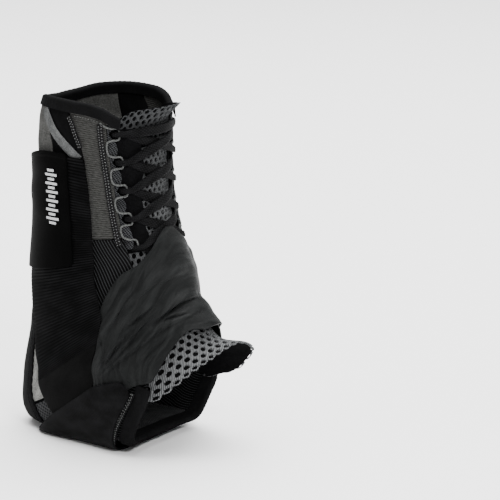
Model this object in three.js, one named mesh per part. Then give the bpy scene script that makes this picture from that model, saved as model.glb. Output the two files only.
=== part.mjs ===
import * as THREE from 'three';
import { LoftGeometry } from 'three/addons/geometries/LoftGeometry.js';

// Ankle brace for a right foot, in millimetres: +X to the toes, +Z up, the outer side at -Y.
// The origin is on the floor, under the middle of the heel band.

// Form of the foot and leg that the panels are cut to
const ANKLE_RISE = 140; // floor to the level where the leg bends into the foot
const LEG_RISE = 80; // that level to the top of the cloth
const BEND_REACH = 115; // origin forward to the bend's axis
const THROAT_REACH = 75; // bend's axis back to the front of the leg
const HEEL_REACH = 218; // bend's axis back to the tip of the heel
const HALF_WIDTH = 36; // half the width of the leg
const RIDGE_SHIFT = 7; // ridge of the instep, off to the inner side
const FRONT_SQUARENESS = 2.1;

// Cloth walls and the gaps between them
const PANEL_WALL = 2.4;
const TONGUE_WALL = 2.2;
const TAPE_WALL = 1.3;
const STRAP_WALL = 0.9;
const BAND_WALL = 1.6;
const TAB_WALL = 1.2;
const BINDING_WALL = 0.7;
const SEAM_GAP = 0.5;
const LAYER_GAP = 0.6;
const FLOOR_GAP = 0.3;

// Heel band on the floor, and the ramps where the sole comes down in front of it and behind
const BAND_BACK = -43;
const BAND_FRONT = 40;
const RAMP = 18;

// Trim
const TOP_BINDING_WIDTH = 7;
const FRONT_BINDING_WIDTH = 9;
const THROAT_STRIP_WIDTH = 8;
const SLANT_TAPE_WIDTH = 6.5;
const SEAM_TAPE_WIDTH = 3.4;
const FRONT_TAPE_WIDTH = 2.6;
const HEEL_TAPE_WIDTH = 30;

// Lacing
const LOOP_COUNT = 5;
const LOOP_TOP = 56; // upper loop above the bend
const LOOP_PITCH = 17.5;
const LOOP_REACH = 6.6; // lacing edge out to the middle of a loop's bar
const LOOP_HEIGHT = 7.2; // between the two legs of a loop
const CORD_DIAMETER = 1.7;
const LACE_WIDTH = 6.2;
const LACE_WALL = 1.1;
const LACE_GATHER = 3.4; // width where it wraps a loop
const LACE_TURN = 0.8; // slack of the lace round a loop
const LOOP_FOOT = 1.5; // a loop's leg on to where the cord is sewn down
const LOOP_STEM = 1.9; // lacing edge out to where a loop leaves the cloth

// Forms of the soft pieces
const FOLD_HEIGHT = 2.6;
const EDGE_LIFT = 2.6; // rear edge of a tab end, bridging the hollow beside the tendon
const TONGUE_FLARE = 8; // top of the tongue, tipped out
const TOE_LIFT = 3; // toe end of the tongue, off the inner side of the instep

// Heights over the form
const TRIM_HEIGHT = PANEL_WALL + SEAM_GAP;
const TONGUE_OUTSIDE = -(BINDING_WALL + 2 * SEAM_GAP);
const STRAP_HEIGHT = PANEL_WALL + LAYER_GAP;
const STRAP_STEP = STRAP_WALL + LAYER_GAP;
const BAND_HEIGHT = STRAP_HEIGHT + 2 * STRAP_STEP;
const BAND_OUTSIDE = BAND_HEIGHT + BAND_WALL;
const TREAD = PANEL_WALL + FLOOR_GAP;

// A level is a share of the leg's rise above the bend, or of a quarter turn below it.
// An angle goes round from the front (0) by the outer side (90) and the back or sole (180).
const SOLE_FROM = -0.45;
const QUARTER_TOP = -0.05;
const SEAM_LOW = -0.44; // back panel's side seams end here
const SOLE_CORNER = 118;
const THROAT_TOP = 44; // angle where the top binding ends

// Front is a share of the throat's reach, back one of the heel's reach or of the way down to
// the floor, widest one of the depth, and outer and inner are shares of the half width.
const FORM = [
  // level, front, back, widest, outer, inner, squareness, shift
  [-0.911, 1.107, 1.0, 0.6, 1.17, 1.11, 3.0, 1.0],
  [-0.778, 1.08, 1.007, 0.62, 1.1, 1.04, 3.0, 0.86],
  [-0.667, 1.053, 1.008, 0.63, 1.03, 0.99, 3.0, 0.71],
  [-0.556, 1.013, 1.018, 0.58, 0.99, 0.96, 3.0, 0.57],
  [-0.478, 0.973, 1.033, 0.48, 1.0, 0.99, 2.8, 0.43],
  [-0.422, 0.947, 1.0, 0.44, 1.01, 1.0, 2.5, 0.29],
  [-0.367, 0.92, 0.954, 0.44, 1.03, 1.03, 2.3, 0.29],
  [-0.267, 0.893, 0.844, 0.47, 1.06, 1.06, 2.1, 0.14],
  [-0.133, 0.907, 0.757, 0.5, 1.01, 1.01, 2.1, 0],
  [0, 0.947, 0.729, 0.51, 0.97, 0.97, 2.1, 0],
  [0.25, 0.987, 0.725, 0.5, 0.97, 0.97, 2.1, 0],
  [0.69, 1.0, 0.725, 0.5, 1.0, 1.0, 2.1, 0],
  [0.95, 1.0, 0.722, 0.51, 1.0, 1.0, 2.1, 0],
  [1.075, 0.973, 0.709, 0.54, 0.97, 0.97, 2.1, 0],
];

// Upper edge of the panels: angle, level
const TOP_EDGE = [
  [40, 0.81],
  [50, 0.86],
  [62, 0.915],
  [78, 0.945],
  [105, 0.955],
  [135, 0.94],
  [160, 0.9],
  [180, 0.885],
];

// Lacing edge of the panels: level, angle
const THROAT = [
  [-0.634, 67],
  [-0.54, 56],
  [-0.4, 46],
  [-0.2, 43],
  [-0.08, 46],
  [0, 47.5],
  [0.25, 50],
  [0.5, 53],
  [0.85, 57],
];

// Seam behind the ribbed side panel: level, angle
const SIDE_SEAM = [
  [-0.05, 75],
  [0.35, 75],
  [0.6, 78],
  [0.71, 84],
  [0.86, 88],
  [0.96, 90],
];

// Seam in front of the back panel: level, angle
const BACK_SEAM = [
  [-0.44, 118],
  [-0.28, 114],
  [-0.13, 110],
  [0, 108],
  [0.3, 106],
  [0.57, 107],
  [0.7, 110],
  [0.87, 116],
  [0.96, 119],
];

// Lower edge of the back panel, where the net cup of the heel begins: angle, level
const CUP_EDGE = [
  [118, -0.443],
  [140, -0.425],
  [160, -0.4],
  [180, -0.385],
];

// Front edge of the quarters and the sole: angle, level
const FRONT_EDGE = [
  [66, -0.634],
  [74, -0.658],
  [84, -0.672],
  [100, -0.678],
  [118, -0.682],
  [180, -0.688],
];

// Ends of the tongue: angle, level
const TONGUE_TOP = [
  [-60, 0.83],
  [-31, 0.9],
  [0, 0.925],
  [28, 0.905],
  [42, 0.85],
  [60, 0.78],
];
const TONGUE_TOE = [
  [-80, -0.66],
  [-58, -0.76],
  [-34, -0.795],
  [-16, -0.765],
  [16, -0.762],
  [41, -0.742],
  [57, -0.722],
  [71, -0.698],
  [81, -0.668],
];

// Half width of the tongue in degrees: level, angle
const TONGUE_SIDE = [
  [-0.67, 80],
  [-0.6, 74],
  [-0.45, 66],
  [-0.2, 60],
  [0.3, 58],
  [0.85, 58],
];

// Edges of the heel band: angle, rear level, front level
const BAND_EDGES = [
  [75, -0.56, -0.6],
  [78, -0.545, -0.622],
  [84, -0.522, -0.626],
  [91, -0.502, -0.63],
  [106, -0.486, -0.636],
  [119, -0.478, -0.642],
  [130, -0.476, -0.648],
  [150, -0.478, -0.658],
  [180, -0.48, -0.666],
];

// Small tapes and tabs: place along them, level, angle
const SLANT_TAPE = [
  [0, 0.83, 113],
  [1, 0.36, 74],
];
const SEAM_TAPE = [
  [0, 0.845],
  [1, 0.64],
];
const FRONT_TAPE = [
  // place, set back from the edge, angle
  [0, 0.03, 76],
  [1, 0.045, 124],
];
const HEEL_TAPE = [
  // place, level, share of the width
  [0, -0.17, 0.55],
  [0.5, -0.274, 1],
  [1, -0.378, 1],
];
const TAB_EDGES = [
  // place, level, rear angle, front angle
  [0, 0.56, 145, 88],
  [0.5, 0.21, 146, 91],
  [1, -0.139, 147, 86],
];
const TAB_SHARE = 0.62; // of the strap's width

// Straps from the sewn end over the instep, down the side, under the heel and up to the tab.
// Angles count from the sewn side, and the rear edge and the front edge of each step are given.
const MEDIAL_START = [
  // step, rear level, rear angle, front level, front angle
  [0, -0.3, -64, -0.56, -62],
  [1, -0.2, -42, -0.6, -36],
  [2, -0.08, -16, -0.625, -12],
  [3, -0.014, 3, -0.63, 5],
  [4, -0.13, 27, -0.59, 22],
];
const LATERAL_START = [
  [0, -0.3, -62, -0.55, -60],
  [1, -0.24, -40, -0.57, -36],
  [2, -0.15, -18, -0.58, -14],
  [3, -0.12, 2, -0.595, 4],
  [4, -0.15, 22, -0.59, 22],
];
const STRAP_COURSE = [
  [5, -0.187, 41, -0.613, 38],
  [6, -0.205, 52, -0.645, 57],
  [7, -0.247, 61, -0.638, 64],
  [8, -0.328, 73, -0.578, 71],
  [9, -0.406, 76, -0.572, 74],
  [10, -0.456, 83.5, -0.583, 79],
  [11, -0.506, 89, -0.6, 86],
  [12, -0.53, 104, -0.62, 104],
  [13, -0.54, 118, -0.622, 118],
  [14, -0.54, 130, -0.624, 130],
  [15, -0.535, 142, -0.622, 142],
  [16, -0.525, 160, -0.618, 160],
  [17, -0.51, 180, -0.61, 180],
  [18, -0.5, 200, -0.6, 200],
  [19, -0.49, 218, -0.588, 218],
  [20, -0.484, 230, -0.567, 230],
  [21, -0.481, 242, -0.548, 242],
  [22, -0.479, 243, -0.525, 257],
  [23, -0.467, 242.5, -0.5, 269],
  [24, -0.444, 242, -0.45, 273.5],
  [25, -0.41, 243, -0.417, 279],
  [26, -0.387, 244, -0.378, 282.5],
  [27, -0.344, 241.5, -0.333, 287],
  [28, -0.272, 232, -0.26, 288],
  [29, -0.2, 219, -0.19, 288],
  [30, -0.133, 213, -0.12, 289],
  [31, -0.01, 214, -0.01, 289],
  [32, 0.1, 215, 0.1, 289],
  [33, 0.3, 215, 0.3, 288],
  [34, 0.55, 216, 0.54, 284],
];
const LAST_STEP = 34;
const MOUTH_STEP = 23; // the strap leaves the heel band here
const CLEAR_STEP = 26; // and lies over the other strap from here
const SIDE_STEP = 27; // foot of the tab end

// Rows of facets in each step of a strap, from that step on
const STRAP_ROWS = [
  [0, 2],
  [6, 3],
  [14, 2],
  [20, 3],
  [21, 2],
  [27, 1],
];

// Folds of the gathered nylon: place across at the first step and the last, steps, width, height
const FOLDS = [
  { from: 3.5, to: 11, start: 0.16, end: 0.2, width: 0.07, height: 0.55 },
  { from: 4.5, to: 10.5, start: 0.36, end: 0.42, width: 0.075, height: 0.9 },
  { from: 3, to: 9.8, start: 0.58, end: 0.62, width: 0.08, height: 1 },
  { from: 4, to: 9, start: 0.82, end: 0.84, width: 0.075, height: 0.7 },
];

// Monotone cubic through the rows of a table, whose first column is the place
function slopeAt(table, row, column) {
  const rise = (i) => (table[i + 1][column] - table[i][column]) / (table[i + 1][0] - table[i][0]);
  if (row === 0) return rise(0);
  if (row === table.length - 1) return rise(row - 1);
  const before = rise(row - 1);
  const after = rise(row);
  return before * after <= 0 ? 0 : (2 * before * after) / (before + after);
}

function readTable(table, place) {
  const at = THREE.MathUtils.clamp(place, table[0][0], table[table.length - 1][0]);
  let row = 0;
  while (row < table.length - 2 && at > table[row + 1][0]) row += 1;
  const width = table[row + 1][0] - table[row][0];
  const t = (at - table[row][0]) / width;
  return table[row].slice(1).map((start, index) => {
    const end = table[row + 1][index + 1];
    const leaving = slopeAt(table, row, index + 1) * width;
    const arriving = slopeAt(table, row + 1, index + 1) * width;
    return start * (1 + 2 * t) * (1 - t) ** 2 + leaving * t * (1 - t) ** 2
      + end * t * t * (3 - 2 * t) + arriving * t * t * (t - 1);
  });
}

const lerp = THREE.MathUtils.lerp;
const fade = (from, to, x) => THREE.MathUtils.smoothstep(x, from, to);
const turnOf = (level) => Math.max(-level, 0) * Math.PI / 2;

const SECTIONS = FORM.map(([level, front, back, widest, outer, inner, squareness, shift]) => {
  const frontReach = front * THROAT_REACH;
  const backReach = back * (level < SOLE_FROM ? ANKLE_RISE / Math.sin(turnOf(level)) : HEEL_REACH);
  const wideReach = frontReach + widest * (backReach - frontReach);
  return [level, frontReach, backReach, wideReach, outer * HALF_WIDTH, inner * HALF_WIDTH,
    squareness, shift * RIDGE_SHIFT];
});

// Point of the form itself
function formPoint(level, angle) {
  const [front, back, widest, outer, inner, squareness, shift] = readTable(SECTIONS, level);
  const ahead = Math.cos(THREE.MathUtils.degToRad(angle));
  const aside = Math.sin(THREE.MathUtils.degToRad(angle));
  const power = 2 / (ahead > 0 ? FRONT_SQUARENESS : squareness);
  const reach = widest - Math.sign(ahead) * Math.abs(ahead) ** power
    * (ahead > 0 ? widest - front : back - widest);
  const across = -Math.sign(aside) * Math.abs(aside) ** power * (aside > 0 ? outer : inner);
  return new THREE.Vector3(
    BEND_REACH - reach * Math.cos(turnOf(level)),
    across + shift * Math.max(ahead, 0),
    ANKLE_RISE - reach * Math.sin(turnOf(level)) + Math.max(level, 0) * LEG_RISE,
  );
}

function formUp(level, angle) {
  const step = 1e-3;
  return formPoint(level + step, angle).sub(formPoint(level - step, angle)).normalize();
}

function formNormal(level, angle) {
  const round = formPoint(level, angle + 0.1).sub(formPoint(level, angle - 0.1));
  return formUp(level, angle).cross(round).normalize();
}

// Height of the form's underside over the floor, which leaves room for the heel band
function lift(x) {
  const behind = fade(BAND_BACK - RAMP, BAND_BACK, x);
  const ahead = 1 - fade(BAND_FRONT, BAND_FRONT + RAMP, x);
  return lerp(TREAD, BAND_OUTSIDE, behind * ahead);
}

// Point at a height over the form, kept off the floor
function place(level, angle, height) {
  const point = formPoint(level, angle).addScaledVector(formNormal(level, angle), height);
  point.z = Math.max(point.z, lift(point.x) - height);
  return point;
}

// Normal of the cloth, which lies flat along the sole
function clothNormal(level, angle) {
  const up = place(level + 0.004, angle, PANEL_WALL).sub(place(level - 0.004, angle, PANEL_WALL));
  const round = place(level, angle + 1, PANEL_WALL).sub(place(level, angle - 1, PANEL_WALL));
  return up.cross(round).normalize();
}

function closedMesh(points, faces) {
  const corner = (index) => points[index];
  let volume = 0;
  faces.forEach(([a, b, c]) => {
    volume += corner(a).dot(new THREE.Vector3().crossVectors(corner(b), corner(c)));
  });
  const index = faces.flatMap(([a, b, c]) => (volume > 0 ? [a, b, c] : [a, c, b]));
  const geometry = new THREE.BufferGeometry().setFromPoints(points);
  geometry.setIndex(index);
  geometry.computeVertexNormals();
  return geometry;
}

const evenly = (count) => Array.from({ length: count + 1 }, (_, i) => i / count);

// Sheet of cloth between two heights over the form; where(u, v) gives level, angle and raise
function sheet(rows, columns, where, inside, outside) {
  const points = [];
  rows.forEach((u) => columns.forEach((v) => {
    const [level, angle, raise = 0] = where(u, v);
    points.push(place(level, angle, inside + raise), place(level, angle, outside + raise));
  }));
  const at = (i, j, side) => 2 * (i * columns.length + j) + side;
  const faces = [];
  const quad = (a, b, c, d) => faces.push([a, b, c], [a, c, d]);
  const lastRow = rows.length - 1;
  const lastColumn = columns.length - 1;
  for (let i = 0; i < lastRow; i += 1) {
    for (let j = 0; j < lastColumn; j += 1) {
      quad(at(i, j, 1), at(i + 1, j, 1), at(i + 1, j + 1, 1), at(i, j + 1, 1));
      quad(at(i, j, 0), at(i, j + 1, 0), at(i + 1, j + 1, 0), at(i + 1, j, 0));
    }
    quad(at(i, 0, 0), at(i + 1, 0, 0), at(i + 1, 0, 1), at(i, 0, 1));
    quad(at(i, lastColumn, 1), at(i + 1, lastColumn, 1), at(i + 1, lastColumn, 0), at(i, lastColumn, 0));
  }
  for (let j = 0; j < lastColumn; j += 1) {
    quad(at(0, j, 1), at(0, j + 1, 1), at(0, j + 1, 0), at(0, j, 0));
    quad(at(lastRow, j, 0), at(lastRow, j + 1, 0), at(lastRow, j + 1, 1), at(lastRow, j, 1));
  }
  return closedMesh(points, faces);
}

// Sweep of a profile of [across, out] corners along stations on the form
function sweep(stations, profile) {
  const sections = stations.map(({ point, normal }, i) => {
    const before = stations[Math.max(i - 1, 0)].point;
    const after = stations[Math.min(i + 1, stations.length - 1)].point;
    const along = after.clone().sub(before).normalize();
    const across = along.clone().cross(normal).normalize();
    const out = across.clone().cross(along);
    return profile.map(([aside, up]) => point.clone().addScaledVector(across, aside)
      .addScaledVector(out, up));
  });
  return closedLoft(sections);
}

// Loft through closed rings, turned so that its faces point out
function closedLoft(sections) {
  const [first, second] = sections;
  const facing = new THREE.Vector3();
  first.forEach((corner, i) => {
    facing.add(corner.clone().cross(first[(i + 1) % first.length]));
  });
  const forwards = facing.dot(second[0].clone().sub(first[0])) > 0;
  const rings = forwards ? sections : sections.map((ring) => [...ring].reverse());
  return new LoftGeometry(rings, { capStart: true, capEnd: true });
}

const station = (level, angle, height) => (
  { point: place(level, angle, height), normal: clothNormal(level, angle) }
);

// Flat tape on the panels
function tape(stops, width, steps, height = TRIM_HEIGHT) {
  const stations = evenly(steps).map((t) => station(...stops(t), height));
  const half = width / 2;
  return sweep(stations, [[-half, 0], [half, 0], [half, TAPE_WALL], [-half, TAPE_WALL]]);
}

// Binding folded over an edge of the panels: both legs and the web between them
function binding(angles, edgeLevel, beyond, width) {
  const rim = SEAM_GAP + BINDING_WALL;
  const back = rim - width;
  const under = -SEAM_GAP;
  const over = PANEL_WALL + SEAM_GAP;
  const profile = [
    [back, under - BINDING_WALL], [rim, under - BINDING_WALL], [rim, over + BINDING_WALL],
    [back, over + BINDING_WALL], [back, over], [SEAM_GAP, over], [SEAM_GAP, under], [back, under],
  ];
  return closedLoft(angles.map((angle) => {
    const level = edgeLevel(angle);
    const step = 0.01;
    const scale = formPoint(level + step, angle).distanceTo(formPoint(level, angle)) / step;
    return profile.map(([out, height]) => place(level + beyond * out / scale, angle, height));
  }));
}

// Round cord through points on the form
function cord(stops, sides, rowsEach) {
  const curve = new THREE.CatmullRomCurve3(stops.map((stop) => place(...stop)), false, 'centripetal');
  const radius = CORD_DIAMETER / 2;
  const rows = evenly((stops.length - 1) * rowsEach);
  const profile = evenly(sides).slice(1).map((t) => [
    radius * Math.cos(t * 2 * Math.PI), radius * Math.sin(t * 2 * Math.PI),
  ]);
  const last = stops.length - 1;
  return sweep(rows.map((t) => {
    const stop = stops[Math.min(Math.round(t * last), last)];
    return { point: curve.getPoint(t), normal: clothNormal(stop[0], stop[1]) };
  }), profile);
}

// Sides: the outer side turns one way round the form and the inner side the other
const OUTER = 1;
const INNER = -1;
const edgeOf = (table, x, side) => side * readTable(table, x)[0];
const topEdge = (angle) => readTable(TOP_EDGE, 180 - Math.abs(180 - Math.abs(angle)))[0];
const frontEdge = (angle) => readTable(FRONT_EDGE, 180 - Math.abs(180 - Math.abs(angle)))[0];
const cupEdge = (angle) => readTable(CUP_EDGE, 180 - Math.abs(180 - Math.abs(angle)))[0];
const degreesFor = (length) => THREE.MathUtils.radToDeg(length / HALF_WIDTH);
const levelsFor = (length) => (length > 0 ? length / LEG_RISE : length / (THROAT_REACH * Math.PI / 2));
const SEAM_TURN = degreesFor(SEAM_GAP) / 2;

function sidePanel(side) {
  return sheet(evenly(8), evenly(4), (u, v) => {
    const angle = lerp(57, 88, v);
    const level = lerp(QUARTER_TOP + levelsFor(SEAM_GAP), topEdge(angle), u);
    const front = edgeOf(THROAT, level, 1);
    const back = edgeOf(SIDE_SEAM, level, 1) - SEAM_TURN;
    return [level, side * lerp(front, back, v)];
  }, 0, PANEL_WALL);
}

function gore(side) {
  return sheet(evenly(8), evenly(3), (u, v) => {
    const level = lerp(QUARTER_TOP + levelsFor(SEAM_GAP), topEdge(lerp(88, 118, v)), u);
    const front = edgeOf(SIDE_SEAM, level, 1) + SEAM_TURN;
    const back = edgeOf(BACK_SEAM, level, 1) - SEAM_TURN;
    return [level, side * lerp(front, back, v)];
  }, 0, PANEL_WALL);
}

function quarter(side) {
  return sheet(evenly(13), evenly(6), (u, v) => {
    const low = frontEdge(lerp(FRONT_EDGE[0][0], SOLE_CORNER, v));
    const level = lerp(QUARTER_TOP, low, u);
    const front = edgeOf(THROAT, level, 1);
    const back = level > SOLE_FROM ? edgeOf(BACK_SEAM, level, 1) : SOLE_CORNER;
    return [level, side * lerp(front, back - SEAM_TURN, v)];
  }, 0, PANEL_WALL);
}

function backPanel() {
  const rows = evenly(18).map((t) => 1 - (1 - t) ** 1.5);
  return sheet(rows, evenly(8), (u, v) => {
    const spread = Math.abs(2 * v - 1);
    const end = readTable(BACK_SEAM, lerp(0.9, SEAM_LOW, u))[0];
    const angle = lerp(180, end, spread);
    const level = lerp(topEdge(angle), cupEdge(angle) + levelsFor(SEAM_GAP), u);
    const seam = readTable(BACK_SEAM, level)[0] + SEAM_TURN;
    return [level, 180 + (2 * v - 1) * (180 - seam)];
  }, 0, PANEL_WALL);
}

// Angles across the sole, close together at its corners
const SOLE_HALF = [SOLE_CORNER, 122, 126, 130, 136, 142, 151, 160];
const SOLE_ANGLES = [...SOLE_HALF, 180, ...SOLE_HALF.map((angle) => 360 - angle).reverse()];
const soleSteps = SOLE_ANGLES.map((angle) => (angle - SOLE_CORNER) / (360 - 2 * SOLE_CORNER));

function solePanel() {
  return sheet(soleSteps, evenly(6), (u, v) => {
    const angle = lerp(SOLE_CORNER + SEAM_TURN, 360 - SOLE_CORNER - SEAM_TURN, u);
    return [lerp(cupEdge(angle), frontEdge(angle), v), angle];
  }, 0, PANEL_WALL);
}

function heelBand() {
  const angles = [75, 78, 84, 91, 98, 106, 112];
  const all = [...angles, ...SOLE_ANGLES, ...angles.map((angle) => 360 - angle).reverse()];
  return sheet(all, evenly(5).map((t) => t ** 1.4), (angle, v) => {
    const [rear, front] = readTable(BAND_EDGES, 180 - Math.abs(180 - angle));
    return [lerp(rear, front, v), angle];
  }, BAND_HEIGHT, BAND_OUTSIDE);
}

// Tongue, free of the panels at its top and lifted at the inner side of its toe end
function tongue() {
  const toeHalf = TONGUE_SIDE[0][1];
  return sheet(evenly(22), evenly(7), (u, v) => {
    const share = 2 * v - 1;
    const angle = share * readTable(TONGUE_SIDE, lerp(0.9, -0.72, u))[0];
    const toe = readTable(TONGUE_TOE, share * toeHalf)[0];
    const level = lerp(readTable(TONGUE_TOP, angle)[0], toe, u);
    const freeTop = (1 - fade(0, 46, angle)) * (1 - fade(30, 43, -angle)) * fade(0.77, 0.95, level);
    const freeToe = (1 - fade(-10, 20, angle)) * (1 - fade(44, 64, -angle)) * fade(0.64, 0.78, -level);
    return [level, angle, TONGUE_FLARE * freeTop + TOE_LIFT * freeToe];
  }, TONGUE_OUTSIDE - TONGUE_WALL, TONGUE_OUTSIDE);
}

// Strap: height over the form along its way, folds in the nylon, and the lifted rear edge
function strap(side, start, columns, height, climb, foldsFrom) {
  const course = [...start, ...STRAP_COURSE];
  const steps = [0];
  for (let step = 0; step < LAST_STEP; step += 1) {
    const rows = STRAP_ROWS.filter(([from]) => step >= from).pop()[1];
    for (let i = 1; i <= rows; i += 1) steps.push(step + i / rows);
  }
  const fold = (step, v) => FOLDS.reduce((sum, { from, to, start: near, end: far, width, height: share }) => {
    const first = Math.max(from, foldsFrom);
    const t = THREE.MathUtils.clamp((step - first) / (to - first), 0, 1);
    const centre = lerp(near, far, t);
    return sum + FOLD_HEIGHT * share * Math.sin(Math.PI * t) * Math.exp(-(((v - centre) / width) ** 2));
  }, 0);
  return sheet(steps, evenly(columns), (step, v) => {
    const [rearLevel, rearAngle, frontLevel, frontAngle] = readTable(course, step);
    const raised = climb * fade(MOUTH_STEP, CLEAR_STEP, step)
      + EDGE_LIFT * fade(SIDE_STEP, SIDE_STEP + 2, step) * Math.max(1 - 2 * v, 0) ** 2;
    return [lerp(rearLevel, frontLevel, v), side * lerp(rearAngle, frontAngle, v), raised + fold(step, v)];
  }, height, height + STRAP_WALL);
}

// Hook tab on the rear part of a strap's end
function tab(side, height) {
  return sheet(evenly(7), evenly(4), (u, v) => {
    const [level, rear, front] = readTable(TAB_EDGES, u);
    const across = v * TAB_SHARE;
    return [level, side * lerp(rear, front, v), EDGE_LIFT * Math.max(1 - 2 * across, 0) ** 2];
  }, height, height + TAB_WALL);
}

function topBinding() {
  return binding(evenly(22).map((t) => lerp(THROAT_TOP, 360 - THROAT_TOP, t)), topEdge, 1, TOP_BINDING_WIDTH);
}

function frontBinding() {
  const side = evenly(7).slice(0, -1).map((t) => lerp(70, SOLE_CORNER, t));
  const angles = [...side, ...SOLE_ANGLES, ...side.map((angle) => 360 - angle).reverse()];
  return binding(angles, frontEdge, -1, FRONT_BINDING_WIDTH);
}

function throatStrip(side) {
  const halfTurn = degreesFor(THROAT_STRIP_WIDTH / 2);
  const low = QUARTER_TOP - 0.03;
  return tape((t) => {
    const level = lerp(low, topEdge(57) - levelsFor(TOP_BINDING_WIDTH), t);
    return [level, side * (readTable(THROAT, level)[0] + halfTurn)];
  }, THROAT_STRIP_WIDTH, 10);
}

function slantTape(side) {
  return tape((t) => {
    const [level, angle] = readTable(SLANT_TAPE, t);
    return [level, side * angle];
  }, SLANT_TAPE_WIDTH, 8);
}

function seamTape(side) {
  return tape((t) => {
    const [level] = readTable(SEAM_TAPE, t);
    return [level, edgeOf(SIDE_SEAM, level, side)];
  }, SEAM_TAPE_WIDTH, 5);
}

function frontTape(side) {
  const height = TRIM_HEIGHT + BINDING_WALL + SEAM_GAP;
  return tape((t) => {
    const [setBack, angle] = readTable(FRONT_TAPE, t);
    return [frontEdge(angle) + setBack, side * angle];
  }, FRONT_TAPE_WIDTH, 10, height);
}

function heelTape() {
  return sheet(evenly(8), evenly(4), (u, v) => {
    const [level, share] = readTable(HEEL_TAPE, u);
    return [level, 180 + (2 * v - 1) * share * degreesFor(HEEL_TAPE_WIDTH / 2)];
  }, PANEL_WALL + LAYER_GAP, PANEL_WALL + LAYER_GAP + TAPE_WALL);
}

// Ends of the lace, tucked down inside the throat: drop in levels, angle
const LACE_TAIL = [
  [0.05, 22],
  [0.12, 12],
];

const loopLevel = (index) => levelsFor(LOOP_TOP - index * LOOP_PITCH);
const barAngle = (level) => readTable(THROAT, level)[0] - degreesFor(LOOP_REACH);
const BAR_HEIGHT = TONGUE_OUTSIDE + LAYER_GAP + LACE_WALL + LAYER_GAP + CORD_DIAMETER / 2;

// Cord laid along the lacing edge and out into each loop
function loopCord(side) {
  const rest = TRIM_HEIGHT + TAPE_WALL + LAYER_GAP + CORD_DIAMETER / 2;
  const legs = levelsFor(LOOP_HEIGHT / 2);
  const sewn = degreesFor(LOOP_STEM);
  const stops = [];
  for (let i = 0; i < LOOP_COUNT; i += 1) {
    const level = loopLevel(i);
    const foot = levelsFor(LOOP_HEIGHT / 2 + LOOP_FOOT);
    const stem = readTable(THROAT, level)[0] - degreesFor(LOOP_STEM + 0.3);
    stops.push([level + foot, side * (readTable(THROAT, level + foot)[0] + sewn), rest]);
    stops.push([level + legs, side * stem, lerp(rest, BAR_HEIGHT, 0.15)]);
    stops.push([level + legs * 0.85, side * barAngle(level), BAR_HEIGHT]);
    stops.push([level - legs * 0.85, side * barAngle(level), BAR_HEIGHT]);
    stops.push([level - legs, side * stem, lerp(rest, BAR_HEIGHT, 0.15)]);
    stops.push([level - foot, side * (readTable(THROAT, level - foot)[0] + sewn), rest]);
  }
  return cord(stops, 5, 1);
}

// Lace: a bar across the top loops, a cross between each two pairs, and the ends tucked down
function laceStops() {
  const low = TONGUE_OUTSIDE + 1.2 * LAYER_GAP + LACE_WALL / 2;
  const high = BAR_HEIGHT + CORD_DIAMETER / 2 + LAYER_GAP + LACE_WALL / 2;
  const middle = low + LACE_WALL + LAYER_GAP;
  const wrap = degreesFor(CORD_DIAMETER / 2 + LAYER_GAP + LACE_WALL / 2 + LACE_TURN);
  const half = (from) => {
    const stops = [];
    for (let i = 0; i < LOOP_COUNT; i += 1) {
      const side = i % 2 === 0 ? from : -from;
      const level = loopLevel(i);
      const bar = barAngle(level);
      stops.push([level, side * (bar - wrap), high, LACE_GATHER]);
      stops.push([level, side * (bar + wrap * 0.7), high, LACE_GATHER]);
      stops.push([level, side * (bar + wrap * 1.5), (low + high) / 2, LACE_GATHER]);
      stops.push([level, side * (bar + wrap * 0.7), low, LACE_GATHER]);
      stops.push([level, side * (bar - wrap), low, LACE_GATHER]);
      if (i === LOOP_COUNT - 1) break;
      const next = loopLevel(i + 1);
      [0.3, 0.5, 0.7].forEach((share) => {
        const height = side === OUTER ? low : middle;
        stops.push([lerp(level, next, share), side * lerp(bar, -bar, share), height, LACE_WIDTH]);
      });
    }
    const side = LOOP_COUNT % 2 === 1 ? from : -from;
    const end = loopLevel(LOOP_COUNT - 1);
    LACE_TAIL.forEach(([drop, angle]) => stops.push([end - drop, side * angle, low, LACE_WIDTH]));
    return stops;
  };
  const bar = [20, 0, -20].map((angle) => [loopLevel(0) + 0.01, angle, middle, LACE_WIDTH]);
  return [...half(OUTER).reverse(), ...bar, ...half(INNER)];
}

function lace() {
  const stops = laceStops();
  const points = stops.map(([level, angle, height]) => place(level, angle, height));
  const curve = new THREE.CatmullRomCurve3(points, false, 'centripetal');
  const last = stops.length - 1;
  return closedLoft(evenly(last * 2).map((t) => {
    const [level, angle] = stops[Math.round(t * last)];
    const row = Math.min(Math.floor(t * last), last - 1);
    const half = lerp(stops[row][3], stops[row + 1][3], t * last - row) / 2;
    const along = curve.getTangent(t);
    const up = formUp(level, angle);
    const across = up.addScaledVector(along, -up.dot(along)).normalize();
    const out = along.clone().cross(across);
    return [[-half, -1], [half, -1], [half, 1], [-half, 1]].map(([aside, face]) => (
      curve.getPoint(t).addScaledVector(across, aside).addScaledVector(out, face * LACE_WALL / 2)));
  }));
}

const LOOKS = {
  black: [0x17181a, 0.8],
  nylon: [0x1d1f22, 0.5],
  band: [0x1b1c1e, 0.55],
  net: [0x2a2b2e, 0.9],
  grey: [0x6d6f71, 0.9],
  pale: [0xb9bab8, 0.9],
  spacer: [0x5c5e61, 0.9],
};

const brace = new THREE.Group();

function add(name, geometry, look) {
  const [color, roughness] = LOOKS[look];
  const material = new THREE.MeshStandardMaterial({ color, roughness, metalness: 0 });
  const mesh = new THREE.Mesh(geometry, material);
  mesh.name = name;
  brace.add(mesh);
}

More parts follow.
